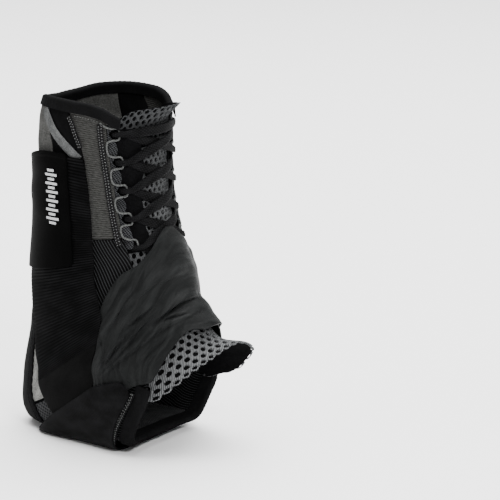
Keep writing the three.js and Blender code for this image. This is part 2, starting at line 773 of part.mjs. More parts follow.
add('tongue', tongue(), 'spacer');
add('back_panel', backPanel(), 'pale');
add('sole_panel', solePanel(), 'net');
add('heel_tape', heelTape(), 'black');
add('heel_band', heelBand(), 'band');
add('top_binding', topBinding(), 'black');
add('front_binding', frontBinding(), 'black');
add('lace', lace(), 'black');
[['lateral', OUTER], ['medial', INNER]].forEach(([name, side]) => {
  add(`side_panel_${name}`, sidePanel(side), 'grey');
  add(`gore_${name}`, gore(side), 'black');
  add(`quarter_${name}`, quarter(side), 'net');
  add(`throat_strip_${name}`, throatStrip(side), 'black');
  add(`slant_tape_${name}`, slantTape(side), 'pale');
  add(`seam_tape_${name}`, seamTape(side), 'grey');
  add(`front_tape_${name}`, frontTape(side), 'grey');
  add(`loop_cord_${name}`, loopCord(side), 'pale');
});

// The strap with its tab on the outer side lies below the other over the instep, and above it there
add('strap_lateral', strap(INNER, LATERAL_START, 6, STRAP_HEIGHT, 2 * STRAP_STEP, 7.6), 'nylon');
add('strap_medial', strap(OUTER, MEDIAL_START, 6, STRAP_HEIGHT + STRAP_STEP, 0, 3), 'nylon');
add('tab_lateral', tab(OUTER, STRAP_HEIGHT + 3 * STRAP_STEP), 'band');
add('tab_medial', tab(INNER, STRAP_HEIGHT + 2 * STRAP_STEP), 'band');

export default brace;
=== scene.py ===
import math

import bpy
import numpy as np
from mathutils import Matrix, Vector


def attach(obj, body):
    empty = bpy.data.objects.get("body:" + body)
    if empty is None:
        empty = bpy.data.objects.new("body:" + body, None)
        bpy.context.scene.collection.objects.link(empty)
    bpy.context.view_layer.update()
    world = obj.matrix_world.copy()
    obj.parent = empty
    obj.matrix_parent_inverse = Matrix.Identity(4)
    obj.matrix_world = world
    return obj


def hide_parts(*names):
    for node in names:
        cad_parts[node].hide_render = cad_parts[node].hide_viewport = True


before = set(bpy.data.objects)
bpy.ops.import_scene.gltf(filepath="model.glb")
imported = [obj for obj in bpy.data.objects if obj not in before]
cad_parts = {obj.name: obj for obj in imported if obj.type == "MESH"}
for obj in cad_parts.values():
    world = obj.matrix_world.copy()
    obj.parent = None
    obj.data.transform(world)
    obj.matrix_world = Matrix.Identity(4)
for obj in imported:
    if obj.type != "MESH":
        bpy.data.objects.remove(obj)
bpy.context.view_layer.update()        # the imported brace: one body, everything in metres
mm = 0.001


# The foot and leg that the cloth is cut to. Lengths are in millimetres until a mesh is made.
form = {
    "ankleRise": 140, "legRise": 80, "bendReach": 115, "throatReach": 75, "heelReach": 218,
    "halfWidth": 36, "ridgeShift": 7, "frontSquareness": 2.1, "soleFrom": -0.45,
    "tread": 2.7, "bandOutside": 7.6, "bandBack": -43, "bandFront": 40, "ramp": 18,
    "wobble": 0.3,       # unevenness of worn cloth
    "soften": 5,         # how roundly the cloth turns under the sole
}

# A level is a share of the leg above the bend, or of a quarter turn below it.
# level, front, back, widest, outer, inner, squareness, shift
formRows = [
    [-0.911, 1.107, 1.0, 0.6, 1.17, 1.11, 3.0, 1.0],
    [-0.778, 1.08, 1.007, 0.62, 1.1, 1.04, 3.0, 0.86],
    [-0.667, 1.053, 1.008, 0.63, 1.03, 0.99, 3.0, 0.71],
    [-0.556, 1.013, 1.018, 0.58, 0.99, 0.96, 3.0, 0.57],
    [-0.478, 0.973, 1.033, 0.48, 1.0, 0.99, 2.8, 0.43],
    [-0.422, 0.947, 1.0, 0.44, 1.01, 1.0, 2.5, 0.29],
    [-0.367, 0.92, 0.949, 0.44, 1.03, 1.03, 2.3, 0.29],
    [-0.267, 0.893, 0.833, 0.47, 1.06, 1.06, 2.1, 0.14],
    [-0.133, 0.907, 0.75, 0.5, 1.01, 1.01, 2.1, 0],
    [0, 0.947, 0.729, 0.51, 0.97, 0.97, 2.1, 0],
    [0.25, 0.987, 0.725, 0.5, 0.97, 0.97, 2.1, 0],
    [0.69, 1.0, 0.72, 0.5, 1.0, 1.0, 2.1, 0],
    [0.95, 1.0, 0.69, 0.51, 0.975, 0.975, 2.1, 0],
    [1.075, 0.973, 0.67, 0.54, 0.94, 0.94, 2.1, 0],
]

# Heights over the form
rise = {
    "panel": 2.4, "trim": 2.9, "trimWall": 1.3, "tongueOut": -1.7, "tongueIn": -3.9,
    "strap": 3.0, "strapStep": 1.5, "strapWall": 0.9, "band": 6.0, "bandWall": 1.6,
    "tabWall": 1.2, "seamGap": 0.5, "layerGap": 0.6,
}
outerSide, innerSide = 1, -1
sideNames = {outerSide: "lateral", innerSide: "medial"}


def mix(a, b, t):
    return a + (b - a) * t


def fade(low, high, x):
    t = np.clip((np.asarray(x, float) - low) / (high - low), 0, 1)
    return t * t * (3 - 2 * t)


def evenly(count):
    return np.linspace(0, 1, count + 1)


def unit(v):
    return v / (np.linalg.norm(v, axis=-1, keepdims=True) + 1e-12)


# smooth curve through the rows of a table, whose first column is the place
def readTable(table, at):
    rows = np.asarray(table, float)
    x, y = rows[:, 0], rows[:, 1:]
    steep = np.diff(y, axis=0) / np.diff(x)[:, None]
    slope = np.vstack([steep[:1], steep[1:] * 0, steep[-1:]])
    both = steep[:-1] * steep[1:]
    total = np.where(both > 0, steep[:-1] + steep[1:], 1)
    slope[1:-1] = np.where(both > 0, 2 * both / total, 0)
    at = np.clip(np.asarray(at, float), x[0], x[-1])
    i = np.clip(np.searchsorted(x, at, side="right") - 1, 0, len(x) - 2)
    width = (x[i + 1] - x[i])[..., None]
    t = (at - x[i])[..., None] / width
    return (y[i] * (1 + 2 * t) * (1 - t) ** 2 + slope[i] * width * t * (1 - t) ** 2
            + y[i + 1] * t * t * (3 - 2 * t) + slope[i + 1] * width * t * t * (t - 1))


def sectionsOf(rows):
    sections = []
    for level, front, back, widest, outer, inner, square, shift in rows:
        near = front * form["throatReach"]
        down = form["ankleRise"] / math.sin(max(-level, 0.01) * math.pi / 2)
        far = back * (down if level < form["soleFrom"] else form["heelReach"])
        sections.append([level, near, far, near + widest * (far - near), outer * form["halfWidth"],
                         inner * form["halfWidth"], square, shift * form["ridgeShift"]])
    return sections


sections = sectionsOf(formRows)


def formPoint(level, angle):
    level, angle = np.broadcast_arrays(np.asarray(level, float), np.asarray(angle, float))
    front, back, widest, outer, inner, square, shift = np.moveaxis(readTable(sections, level), -1, 0)
    ahead, aside = np.cos(np.radians(angle)), np.sin(np.radians(angle))
    power = 2 / np.where(ahead > 0, form["frontSquareness"], square)
    depth = np.where(ahead > 0, widest - front, back - widest)
    reach = widest - np.sign(ahead) * np.abs(ahead) ** power * depth
    across = -np.sign(aside) * np.abs(aside) ** power * np.where(aside > 0, outer, inner)
    turn = np.maximum(-level, 0) * math.pi / 2
    return np.stack([
        form["bendReach"] - reach * np.cos(turn),
        across + shift * np.maximum(ahead, 0),
        form["ankleRise"] - reach * np.sin(turn) + np.maximum(level, 0) * form["legRise"],
    ], -1)


def formUp(level, angle):
    return unit(formPoint(level + 1e-3, angle) - formPoint(level - 1e-3, angle))


def formNormal(level, angle):
    level, angle = np.asarray(level, float), np.asarray(angle, float)
    turn = formPoint(level, angle + 0.1) - formPoint(level, angle - 0.1)
    return unit(np.cross(formUp(level, angle), turn))


def wobble(level, angle):
    a = np.radians(angle)
    waves = (np.sin(9 * level + 2 * a + 0.6) * np.sin(3 * a + 1.1) + 0.6 * np.sin(17 * level - 3 * a)
             + 0.4 * np.sin(31 * level + 5 * a + 2))
    return form["wobble"] * waves * fade(-0.47, -0.3, level)


# points at a height over the form, kept off the floor
def place(level, angle, height):
    level, angle, height = np.broadcast_arrays(*[np.asarray(a, float) for a in (level, angle, height)])
    away = (height + wobble(level, angle))[..., None]
    point = formPoint(level, angle) + formNormal(level, angle) * away
    x = point[..., 0]
    behind = fade(form["bandBack"] - form["ramp"], form["bandBack"], x)
    ahead = 1 - fade(form["bandFront"], form["bandFront"] + form["ramp"], x)
    floor = mix(form["tread"], form["bandOutside"], behind * ahead) - height
    over = np.clip(0.5 + (point[..., 2] - floor) / (2 * form["soften"]), 0, 1)
    point[..., 2] = mix(floor, point[..., 2], over) + form["soften"] * over * (1 - over)
    return point


def degrees(length):
    return length / form["halfWidth"] * 180 / math.pi


def levels(length):
    return length / form["legRise"] if length > 0 else length / (form["throatReach"] * math.pi / 2)


# Edges and seams of the panels, as on the pattern
edges = {
    "top": [[40, 0.81], [50, 0.86], [62, 0.915], [78, 0.945], [105, 0.955], [135, 0.94], [160, 0.9],
            [180, 0.885]],
    "throat": [[-0.634, 67], [-0.54, 56], [-0.4, 46], [-0.2, 43], [-0.08, 46], [0, 47.5],
               [0.25, 50], [0.5, 53], [0.85, 57]],
    "sideSeam": [[-0.05, 75], [0.35, 75], [0.62, 78], [0.7, 81], [0.79, 85], [0.86, 90], [0.96, 92]],
    "backSeam": [[-0.44, 118], [-0.28, 114], [-0.13, 110], [0, 108], [0.3, 106], [0.57, 107],
                 [0.7, 110], [0.87, 116], [0.96, 119]],
    "cup": [[118, -0.443], [140, -0.425], [160, -0.4], [180, -0.385]],
    "front": [[66, -0.634], [74, -0.658], [84, -0.672], [100, -0.678], [118, -0.682], [180, -0.688]],
}
seamTurn = degrees(rise["seamGap"]) / 2
quarterTop = -0.05
soleCorner = 118


def edge(name, at):
    if name in ("top", "cup", "front"):
        at = 180 - np.abs(180 - np.abs(at))
    return readTable(edges[name], at)[..., 0]


# Meshes
def setPoints(piece, points):
    piece.data.vertices.foreach_set("co", (points * mm).astype(np.float32).ravel())
    piece.data.update()


def applyModifier(piece, kind, **settings):
    modifier = piece.modifiers.new(kind.title(), kind)
    for key, value in settings.items():
        setattr(modifier, key, value)
    bpy.context.view_layer.objects.active = piece
    bpy.ops.object.modifier_apply(modifier=modifier.name)


def selectOnly(piece):
    bpy.ops.object.select_all(action="DESELECT")
    piece.select_set(True)
    bpy.context.view_layer.objects.active = piece


def smooth(piece, angle=42):
    selectOnly(piece)
    bpy.ops.object.shade_smooth_by_angle(angle=math.radians(angle))


def distances(points):
    return np.concatenate([[0], np.cumsum(np.linalg.norm(np.diff(points, axis=0), axis=-1))])


# distance over the cloth from its middle line, both ways, so that a pattern has its real size
def alongCloth(points):
    middle = points.shape[1] // 2
    down = distances(points[:, middle])
    over = np.linalg.norm(np.diff(points, axis=1), axis=-1)
    over = np.concatenate([np.zeros((len(points), 1)), np.cumsum(over, axis=1)], axis=1)
    over -= over[:, middle:middle + 1]
    return np.stack([over, np.repeat(down[:, None], points.shape[1], axis=1)], -1)


def setCloth(mesh, uv):
    layer = mesh.uv_layers.active or mesh.uv_layers.new(name="cloth")
    layer.name = "cloth"
    layer.uv.foreach_set("vector", (uv * mm).astype(np.float32).ravel())


# a piece from its own points, in millimetres
def newPiece(name, points, faces):
    mesh = bpy.data.meshes.new(name)
    mesh.from_pydata((points.reshape(-1, 3) * mm).tolist(), [], faces)
    piece = bpy.data.objects.new(name, mesh)
    bpy.context.scene.collection.objects.link(piece)
    return piece


# a sheet laid on the form: where(u, v) gives level, angle and how far it is raised
def clothGrid(name, us, vs, where, height):
    bpy.ops.object.select_all(action="DESELECT")
    rows, columns = len(us) - 1, len(vs) - 1
    bpy.ops.mesh.primitive_grid_add(x_subdivisions=rows, y_subdivisions=columns, size=1)
    piece = bpy.context.object
    piece.name = piece.data.name = name
    at = np.zeros(len(piece.data.vertices) * 3, np.float32)
    piece.data.vertices.foreach_get("co", at)
    at = at.reshape(-1, 3)
    i = np.rint((at[:, 0] + 0.5) * rows).astype(int)
    j = np.rint((at[:, 1] + 0.5) * columns).astype(int)
    level, angle, raised = where(*np.meshgrid(us, vs, indexing="ij"))
    points = place(level, angle, height + raised)
    setPoints(piece, points[i, j])
    corner = np.zeros(len(piece.data.loops), int)
    piece.data.loops.foreach_get("vertex_index", corner)
    setCloth(piece.data, alongCloth(points)[i[corner], j[corner]])
    a, b = rows // 2, columns // 2
    facing = np.cross(points[a + 1, b] - points[a - 1, b], points[a, b + 1] - points[a, b - 1])
    if facing @ formNormal(level[a, b], angle[a, b]) < 0:
        piece.data.flip_normals()
    return piece


# a wall of cloth between two heights, with softened edges
def clothSheet(name, us, vs, where, inside, outside, edgeWidth=0.3):
    piece = clothGrid(name, us, vs, where, outside)
    applyModifier(piece, "SOLIDIFY", thickness=(outside - inside) * mm, offset=-1)
    applyModifier(piece, "BEVEL", width=edgeWidth * mm, segments=2, limit_method="ANGLE",
                  angle_limit=math.radians(55))
    smooth(piece)
    return piece


# section of a soft tape or lace: a flattened oval, with squarer edges as the power grows
def oval(width, wall, sides, power):
    turn = np.arange(sides) * 2 * math.pi / sides
    c, s = np.cos(turn), np.sin(turn)
    return np.stack([width / 2 * np.sign(c) * np.abs(c) ** (2 / power),
                     wall / 2 * np.sign(s) * np.abs(s) ** (2 / 2.4)], -1)


# a closed body along a line: rings holds a section of (across, out) for each point
def sweep(name, points, hints, rings):
    count, sides = rings.shape[:2]
    along = unit(np.gradient(points, axis=0))
    across = unit(hints - (hints * along).sum(-1, keepdims=True) * along)
    out = np.cross(across, along)
    body = points[:, None] + across[:, None] * rings[..., :1] + out[:, None] * rings[..., 1:]
    i, j = (a.ravel() for a in np.meshgrid(np.arange(count - 1), np.arange(sides), indexing="ij"))
    k = (j + 1) % sides
    quads = np.stack([i * sides + j, i * sides + k, (i + 1) * sides + k, (i + 1) * sides + j], -1)
    caps = [list(range(sides))[::-1], [(count - 1) * sides + s for s in range(sides)]]
    piece = newPiece(name, body, quads.tolist() + caps)
    way = distances(points)
    girth = distances(np.concatenate([rings[0], rings[0][:1]]))
    uv = np.stack([girth[[j, j + 1, j + 1, j]].T, way[[i, i, i + 1, i + 1]].T], -1).reshape(-1, 2)
    setCloth(piece.data, np.concatenate([uv, np.zeros((2 * sides, 2))]))
    flat = body.reshape(-1, 3) - body.reshape(-1, 3).mean(0)
    a, b, c, d = (flat[quads[:, n]] for n in range(4))
    if (a * np.cross(b, c)).sum() + (a * np.cross(c, d)).sum() < 0:
        piece.data.flip_normals()
    smooth(piece, 60)
    return piece


# smooth line through a few chosen stops; columns after the third follow along
def splined(stops, count):
    stops = np.asarray(stops, float)
    gaps = np.sqrt(np.linalg.norm(np.diff(stops[:, :3], axis=0), axis=-1))
    knots = np.concatenate([[0], np.cumsum(gaps)])
    ends = np.vstack([2 * stops[0] - stops[1], stops, 2 * stops[-1] - stops[-2]])
    k = np.concatenate([[-gaps[0]], knots, [knots[-1] + gaps[-1]]])
    at = np.linspace(0, knots[-1], count)
    i = np.clip(np.searchsorted(knots, at, side="right") - 1, 0, len(knots) - 2) + 1
    t, t0, t1, t2, t3 = (v[:, None] for v in (at, k[i - 1], k[i], k[i + 1], k[i + 2]))
    p0, p1, p2, p3 = ends[i - 1], ends[i], ends[i + 1], ends[i + 2]
    a1 = mix(p0, p1, (t - t0) / (t1 - t0))
    a2 = mix(p1, p2, (t - t1) / (t2 - t1))
    a3 = mix(p2, p3, (t - t2) / (t3 - t2))
    b1 = mix(a1, a2, (t - t0) / (t2 - t0))
    b2 = mix(a2, a3, (t - t1) / (t3 - t1))
    return mix(b1, b2, (t - t1) / (t2 - t1))


# points, normals and directions across a line over the cloth, given by a function of 0 to 1
def track(stops, height, count):
    level, angle = stops(np.linspace(0, 1, count))
    points, ups = place(level, angle, height), formNormal(level, angle)
    return points, ups, np.cross(np.gradient(points, axis=0), ups)


# a soft flat tape sewn along a line, with its underside at that height
def tape(name, stops, width, wall, height, power=3.2):
    points, _, across = track(stops, height + wall / 2, 100)
    return sweep(name, points, across, np.repeat(oval(width, wall, 20, power)[None], 100, axis=0))


# a finished piece: what it is made of, and the nodes of the frame that it stands for
def finish(piece, material, slot, *nodes):
    piece.data.materials.clear()
    piece.data.materials.append(material)
    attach(piece, "root")
    if nodes:
        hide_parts(*nodes)
    return piece


# Materials
oneWave = math.pi / 10        # scale at which a wave texture has one band to each unit


def linear(text):
    values = [int(text[i:i + 2], 16) / 255 for i in (1, 3, 5)]
    return [v / 12.92 if v < 0.04045 else ((v + 0.055) / 1.055) ** 2.4 for v in values] + [1]


def addNode(tree, kind, inputs, **settings):
    node = tree.nodes.new(kind)
    for key, value in settings.items():
        setattr(node, key, value)
    for key, value in inputs.items():
        if isinstance(value, bpy.types.NodeSocket):
            tree.links.new(value, node.inputs[key])
        else:
            node.inputs[key].default_value = value
    return node


# a cloth material and its shader, ready for a colour and a relief
def startCloth(name, roughness, specular):
    material = bpy.data.materials.new(name)
    material.use_nodes = True
    tree = material.node_tree
    shader = tree.nodes["Principled BSDF"]
    shader.inputs["Roughness"].default_value = roughness
    shader.inputs["Specular IOR Level"].default_value = specular
    return material, tree, shader


# the cloth's own map, one unit for each thread, rib or hole of that many millimetres
def clothUnits(tree, across, along, turn=0):
    uv = addNode(tree, "ShaderNodeUVMap", {}, uv_map="cloth")
    turned = addNode(tree, "ShaderNodeMapping", {"Vector": uv.outputs[0],
                                                 "Rotation": (0, 0, math.radians(turn))})
    size = addNode(tree, "ShaderNodeMapping", {"Vector": turned.outputs[0],
                                               "Scale": (1000 / across, 1000 / along, 1)})
    return size.outputs[0]


# the last two steps of each cloth: its tone between two colours, and the height that it feels
def colourAndRelief(tree, shader, tone, dark, light, height, depth):
    colour = addNode(tree, "ShaderNodeMix", {0: tone, 6: linear(dark), 7: linear(light)},
                     data_type="RGBA")
    bump = addNode(tree, "ShaderNodeBump", {"Height": height, "Distance": depth * mm})
    tree.links.new(colour.outputs[2], shader.inputs["Base Color"])
    tree.links.new(bump.outputs[0], shader.inputs["Normal"])


# Nylon taffeta, woven and pressed: flat black threads with a soft satin gleam and fine creases
def nylonTaffeta():
    material, tree, shader = startCloth("nylon_taffeta_woven", 0.47, 0.055)
    threads = clothUnits(tree, 0.8, 0.8)      # real threads are 0.25 mm, drawn coarser to show
    warp = addNode(tree, "ShaderNodeTexWave", {"Vector": threads, "Scale": oneWave},
                   bands_direction="X")
    weft = addNode(tree, "ShaderNodeTexWave", {"Vector": threads, "Scale": oneWave},
                   bands_direction="Y")
    weave = addNode(tree, "ShaderNodeMath", {0: warp.outputs["Fac"], 1: weft.outputs["Fac"]},
                    operation="MULTIPLY")
    creaseMap = clothUnits(tree, 5, 26, 12)
    creases = addNode(tree, "ShaderNodeTexNoise", {"Vector": creaseMap, "Scale": 1, "Detail": 4,
                                                   "Distortion": 0.8})
    both = addNode(tree, "ShaderNodeMath", {0: creases.outputs["Fac"], 1: 5, 2: weave.outputs[0]},
                   operation="MULTIPLY_ADD")
    # painted shade and highlight: the crease noise that gives the relief also darkens the cloth in its
    # hollows and lightens it on its ridges
    patchyTone = addNode(tree, "ShaderNodeMapRange", {"Value": creases.outputs["Fac"], "From Min": 0.35,
                                                "From Max": 0.65})
    colourAndRelief(tree, shader, patchyTone.outputs[0], "#0d0e0e", "#1b1c1c", both.outputs[0], 0.12)
    return material


# Polyester elastic, woven with ribs across it: matt black, with painted highlight where the ribs stand up
# and painted shade between them
def ribbedElastic(pitch):
    material, tree, shader = startCloth("polyester_elastic_ribbed", 0.55, 0.008)
    ribs = addNode(tree, "ShaderNodeTexWave", {"Vector": clothUnits(tree, 1, pitch),
                                               "Scale": oneWave}, bands_direction="Y")
    loops = addNode(tree, "ShaderNodeTexWave", {"Vector": clothUnits(tree, 0.95, 1),
                                                "Scale": oneWave}, bands_direction="X")
    wear = addNode(tree, "ShaderNodeTexNoise", {"Vector": clothUnits(tree, 16, 12), "Scale": 1,
                                                "Detail": 3})
    patchyTone = addNode(tree, "ShaderNodeMapRange", {"Value": wear.outputs["Fac"], "From Min": 0.4,
                                                "From Max": 0.7, "To Min": 0.25})
    # painted light: the rib wave lightens the crests and darkens the hollows; the wear noise is random
    # tone
    tone = addNode(tree, "ShaderNodeMath", {0: ribs.outputs["Fac"], 1: patchyTone.outputs[0]},
                   operation="MULTIPLY")
    colourAndRelief(tree, shader, tone.outputs[0], "#040404", "#161617", loops.outputs["Fac"], 0.05)
    return material


# Polyester rib knit, marled grey yarn: fine ribs round the leg, painted lighter on their crests and
# darker between them as highlight and shade; uneven in tone from the marl
def ribbedKnit():
    material, tree, shader = startCloth("polyester_rib_knitted", 0.85, 0.03)
    ribs = addNode(tree, "ShaderNodeTexWave", {"Vector": clothUnits(tree, 1, 1.35),
                                               "Scale": oneWave, "Distortion": 0.6,
                                               "Detail": 2, "Detail Scale": 0.5}, bands_direction="Y")
    loops = addNode(tree, "ShaderNodeTexWave", {"Vector": clothUnits(tree, 0.9, 1),
                                                "Scale": oneWave}, bands_direction="X")
    marl = addNode(tree, "ShaderNodeTexNoise", {"Vector": clothUnits(tree, 2.6, 0.9), "Scale": 1,
                                                "Detail": 5, "Roughness": 0.7})
    marled = addNode(tree, "ShaderNodeMapRange", {"Value": marl.outputs["Fac"], "From Min": 0.3,
                                                  "From Max": 0.72})
    # the ribs' share of the tone is painted highlight on the crests and painted shade in the hollows; the
    # marl is the yarn's own tone
    tone = addNode(tree, "ShaderNodeMath", {0: ribs.outputs["Fac"], 1: 0.45,
                                            2: marled.outputs[0]}, operation="MULTIPLY_ADD")
    half = addNode(tree, "ShaderNodeMath", {0: tone.outputs[0], 1: 0.62}, operation="MULTIPLY")
    height = addNode(tree, "ShaderNodeMath", {0: loops.outputs["Fac"], 1: 0.25,
                                              2: ribs.outputs["Fac"]}, operation="MULTIPLY_ADD")
    colourAndRelief(tree, shader, half.outputs[0], "#0f0f0e", "#484846", height.outputs[0], 0.25)
    return material


# Warp-knitted polyester net: dark, matt, with small oval holes in staggered rows
def warpNet(name, dark, light, pitch, turn, depth):
    material, tree, shader = startCloth(name, 0.7, 0.02)
    cells = clothUnits(tree, pitch, pitch * 0.72, turn)
    holes = addNode(tree, "ShaderNodeTexVoronoi", {"Vector": cells, "Scale": 1, "Randomness": 0.06})
    strand = addNode(tree, "ShaderNodeMapRange", {"Value": holes.outputs["Distance"],
                                                  "From Min": 0.2, "From Max": 0.5},
                     interpolation_type="SMOOTHSTEP")
    wear = addNode(tree, "ShaderNodeTexNoise", {"Vector": clothUnits(tree, 9, 9), "Scale": 1,
                                                "Detail": 3})
    tone = addNode(tree, "ShaderNodeMath", {0: strand.outputs[0], 1: wear.outputs["Fac"]},
                   operation="MULTIPLY")
    colourAndRelief(tree, shader, tone.outputs[0], dark, light, strand.outputs[0], depth)
    return material


# Warp-knitted polyester net of the side: black, with thin grey strands that slant steeply
def diagonalNet():
    material, tree, shader = startCloth("polyester_net_knitted", 0.7, 0.015)
    strands = addNode(tree, "ShaderNodeTexWave", {"Vector": clothUnits(tree, 1.75, 1.75, -22),
                                                  "Scale": oneWave}, bands_direction="X")
    beads = addNode(tree, "ShaderNodeTexWave", {"Vector": clothUnits(tree, 1.3, 1.3, -22),
                                                "Scale": oneWave}, bands_direction="Y")
    thin = addNode(tree, "ShaderNodeMapRange", {"Value": strands.outputs["Fac"], "From Min": 0.5,
                                                "From Max": 0.97}, interpolation_type="SMOOTHSTEP")
    knotted = addNode(tree, "ShaderNodeMath", {0: beads.outputs["Fac"], 1: 0.5, 2: 0.5},
                      operation="MULTIPLY_ADD")
    tone = addNode(tree, "ShaderNodeMath", {0: thin.outputs[0], 1: knotted.outputs[0]},
                   operation="MULTIPLY")
    colourAndRelief(tree, shader, tone.outputs[0], "#060606", "#303132", tone.outputs[0], 0.3)
    return material


# Brushed polyester: matt, with a short uneven pile and cloudy patches. The pale back and the slanting
# tape have the longest, the black cloths next to the skin a close one. Darker towards its top.
def brushedPile(name, dark, light, grain, depth, topShare=1):
    material, tree, shader = startCloth(name, 0.95, 0.01)
    fibres = addNode(tree, "ShaderNodeTexNoise", {"Vector": clothUnits(tree, grain, grain), "Scale": 1,
                                                  "Detail": 6, "Roughness": 0.75})
    patches = addNode(tree, "ShaderNodeTexNoise", {"Vector": clothUnits(tree, grain * 6, grain * 9),
                                                   "Scale": 1, "Detail": 2})
    tone = addNode(tree, "ShaderNodeMath", {0: patches.outputs["Fac"], 1: 0.4,
                                            2: fibres.outputs["Fac"]}, operation="MULTIPLY_ADD")
    spread = addNode(tree, "ShaderNodeMapRange", {"Value": tone.outputs[0], "From Min": 0.5,
                                                  "From Max": 0.9})
    along = addNode(tree, "ShaderNodeSeparateXYZ", {0: clothUnits(tree, 1000, 1000)})   # in metres
    # darker towards the top: the tone is scaled by the top share down to 90 mm from the top, rising to
    # full at 150 mm
    down = addNode(tree, "ShaderNodeMapRange", {"Value": along.outputs["Y"], "From Min": 0.09,
                                                "From Max": 0.15, "To Min": topShare})
    darkerTowardsTop = addNode(tree, "ShaderNodeMath", {0: spread.outputs[0], 1: down.outputs[0]},
                    operation="MULTIPLY")
    colourAndRelief(tree, shader, darkerTowardsTop.outputs[0], dark, light, fibres.outputs["Fac"], depth)
    return material


# Folded polyester binding, knitted: soft black with fine wales along its length
def knittedBinding():
    material, tree, shader = startCloth("polyester_binding_knitted", 0.72, 0.015)
    wales = addNode(tree, "ShaderNodeTexWave", {"Vector": clothUnits(tree, 0.7, 1),
                                                "Scale": oneWave}, bands_direction="X")
    courses = addNode(tree, "ShaderNodeTexWave", {"Vector": clothUnits(tree, 1, 0.6),
                                                  "Scale": oneWave}, bands_direction="Y")
    knit = addNode(tree, "ShaderNodeMath", {0: wales.outputs["Fac"], 1: courses.outputs["Fac"]},
                   operation="MULTIPLY")
    wear = addNode(tree, "ShaderNodeTexNoise", {"Vector": clothUnits(tree, 6, 11), "Scale": 1,
                                                "Detail": 3})
    colourAndRelief(tree, shader, wear.outputs["Fac"], "#080808", "#131314", knit.outputs[0], 0.04)
    return material


# Nylon twill webbing: close black threads in fine slanting lines, in random patches of tone: wear, and on
# the band also painted highlight
def twillWebbing(name, dark, light):
    material, tree, shader = startCloth(name, 0.5, 0.02)
    lines = addNode(tree, "ShaderNodeTexWave", {"Vector": clothUnits(tree, 1, 1, 58),
                                                "Scale": oneWave}, bands_direction="X")
    wear = addNode(tree, "ShaderNodeTexNoise", {"Vector": clothUnits(tree, 16, 12), "Scale": 1,
                                                "Detail": 3})
    patchyTone = addNode(tree, "ShaderNodeMapRange", {"Value": wear.outputs["Fac"], "From Min": 0.35,
                                                "From Max": 0.65})
    colourAndRelief(tree, shader, patchyTone.outputs[0], dark, light, lines.outputs["Fac"], 0.05)
    return material


# Braided polyester: two sets of flat black yarns that cross; painted highlight where they cross and stand
# up, painted shade between
def braid(name, dark, light, pitch):
    material, tree, shader = startCloth(name, 0.6, 0.025)
    left = addNode(tree, "ShaderNodeTexWave", {"Vector": clothUnits(tree, pitch, pitch, 38),
                                               "Scale": oneWave}, bands_direction="X")
    right = addNode(tree, "ShaderNodeTexWave", {"Vector": clothUnits(tree, pitch, pitch, -38),
                                                "Scale": oneWave}, bands_direction="X")
    crossing = addNode(tree, "ShaderNodeMath", {0: left.outputs["Fac"], 1: right.outputs["Fac"]},
                       operation="MULTIPLY")
    wear = addNode(tree, "ShaderNodeTexNoise", {"Vector": clothUnits(tree, 3, 8), "Scale": 1,
                                                "Detail": 3})
    # the crossing pattern, which also gives the relief, paints highlight on the raised crossings and
    # shade between them; the wear noise is random tone
    tone = addNode(tree, "ShaderNodeMath", {0: crossing.outputs[0], 1: 0.7, 2: wear.outputs["Fac"]},
                   operation="MULTIPLY_ADD")
    spread = addNode(tree, "ShaderNodeMapRange", {"Value": tone.outputs[0], "From Min": 0.35,
                                                  "From Max": 1.2})
    colourAndRelief(tree, shader, spread.outputs[0], dark, light, crossing.outputs[0], 0.16)
    return material


# Spun polyester thread or cord: fibres laid along it, a little fuzzy
def spunYarn(name, dark, light):
    material, tree, shader = startCloth(name, 0.85, 0.03)
    fibres = addNode(tree, "ShaderNodeTexNoise", {"Vector": clothUnits(tree, 0.35, 1.2), "Scale": 1,
                                                  "Detail": 4, "Roughness": 0.6})
    spread = addNode(tree, "ShaderNodeMapRange", {"Value": fibres.outputs["Fac"], "From Min": 0.3,
                                                  "From Max": 0.7})
    colourAndRelief(tree, shader, spread.outputs[0], dark, light, fibres.outputs["Fac"], 0.08)
    return material


# Polyester spacer knit: springy grey strands, each of several matt yarns, darker towards the top
def spacerKnit():
    material, tree, shader = startCloth("polyester_spacer_knitted", 0.88, 0.03)
    yarns = addNode(tree, "ShaderNodeTexNoise", {"Vector": clothUnits(tree, 0.5, 1.1), "Scale": 1,
                                                 "Detail": 4, "Roughness": 0.65})
    stitches = addNode(tree, "ShaderNodeTexWave", {"Vector": clothUnits(tree, 0.7, 0.7, 28),
                                                   "Scale": oneWave}, bands_direction="X")
    tone = addNode(tree, "ShaderNodeMath", {0: yarns.outputs["Fac"], 1: 0.9,
                                            2: stitches.outputs["Fac"]}, operation="MULTIPLY_ADD")
    spread = addNode(tree, "ShaderNodeMapRange", {"Value": tone.outputs[0], "From Min": 0.3,
                                                  "From Max": 1.5})
    along = addNode(tree, "ShaderNodeSeparateXYZ", {0: clothUnits(tree, 1000, 1000)})   # in metres
    # darker towards the top: the tone is about a third of full down to 20 mm from the top, rising to full
    # at 100 mm
    down = addNode(tree, "ShaderNodeMapRange", {"Value": along.outputs["Y"], "From Min": 0.02,
                                                "From Max": 0.1, "To Min": 0.35})
    darkerTowardsTop = addNode(tree, "ShaderNodeMath", {0: spread.outputs[0], 1: down.outputs[0]},
                    operation="MULTIPLY")
    colourAndRelief(tree, shader, darkerTowardsTop.outputs[0], "#1c1d1e", "#666768", tone.outputs[0], 0.12)
    return material


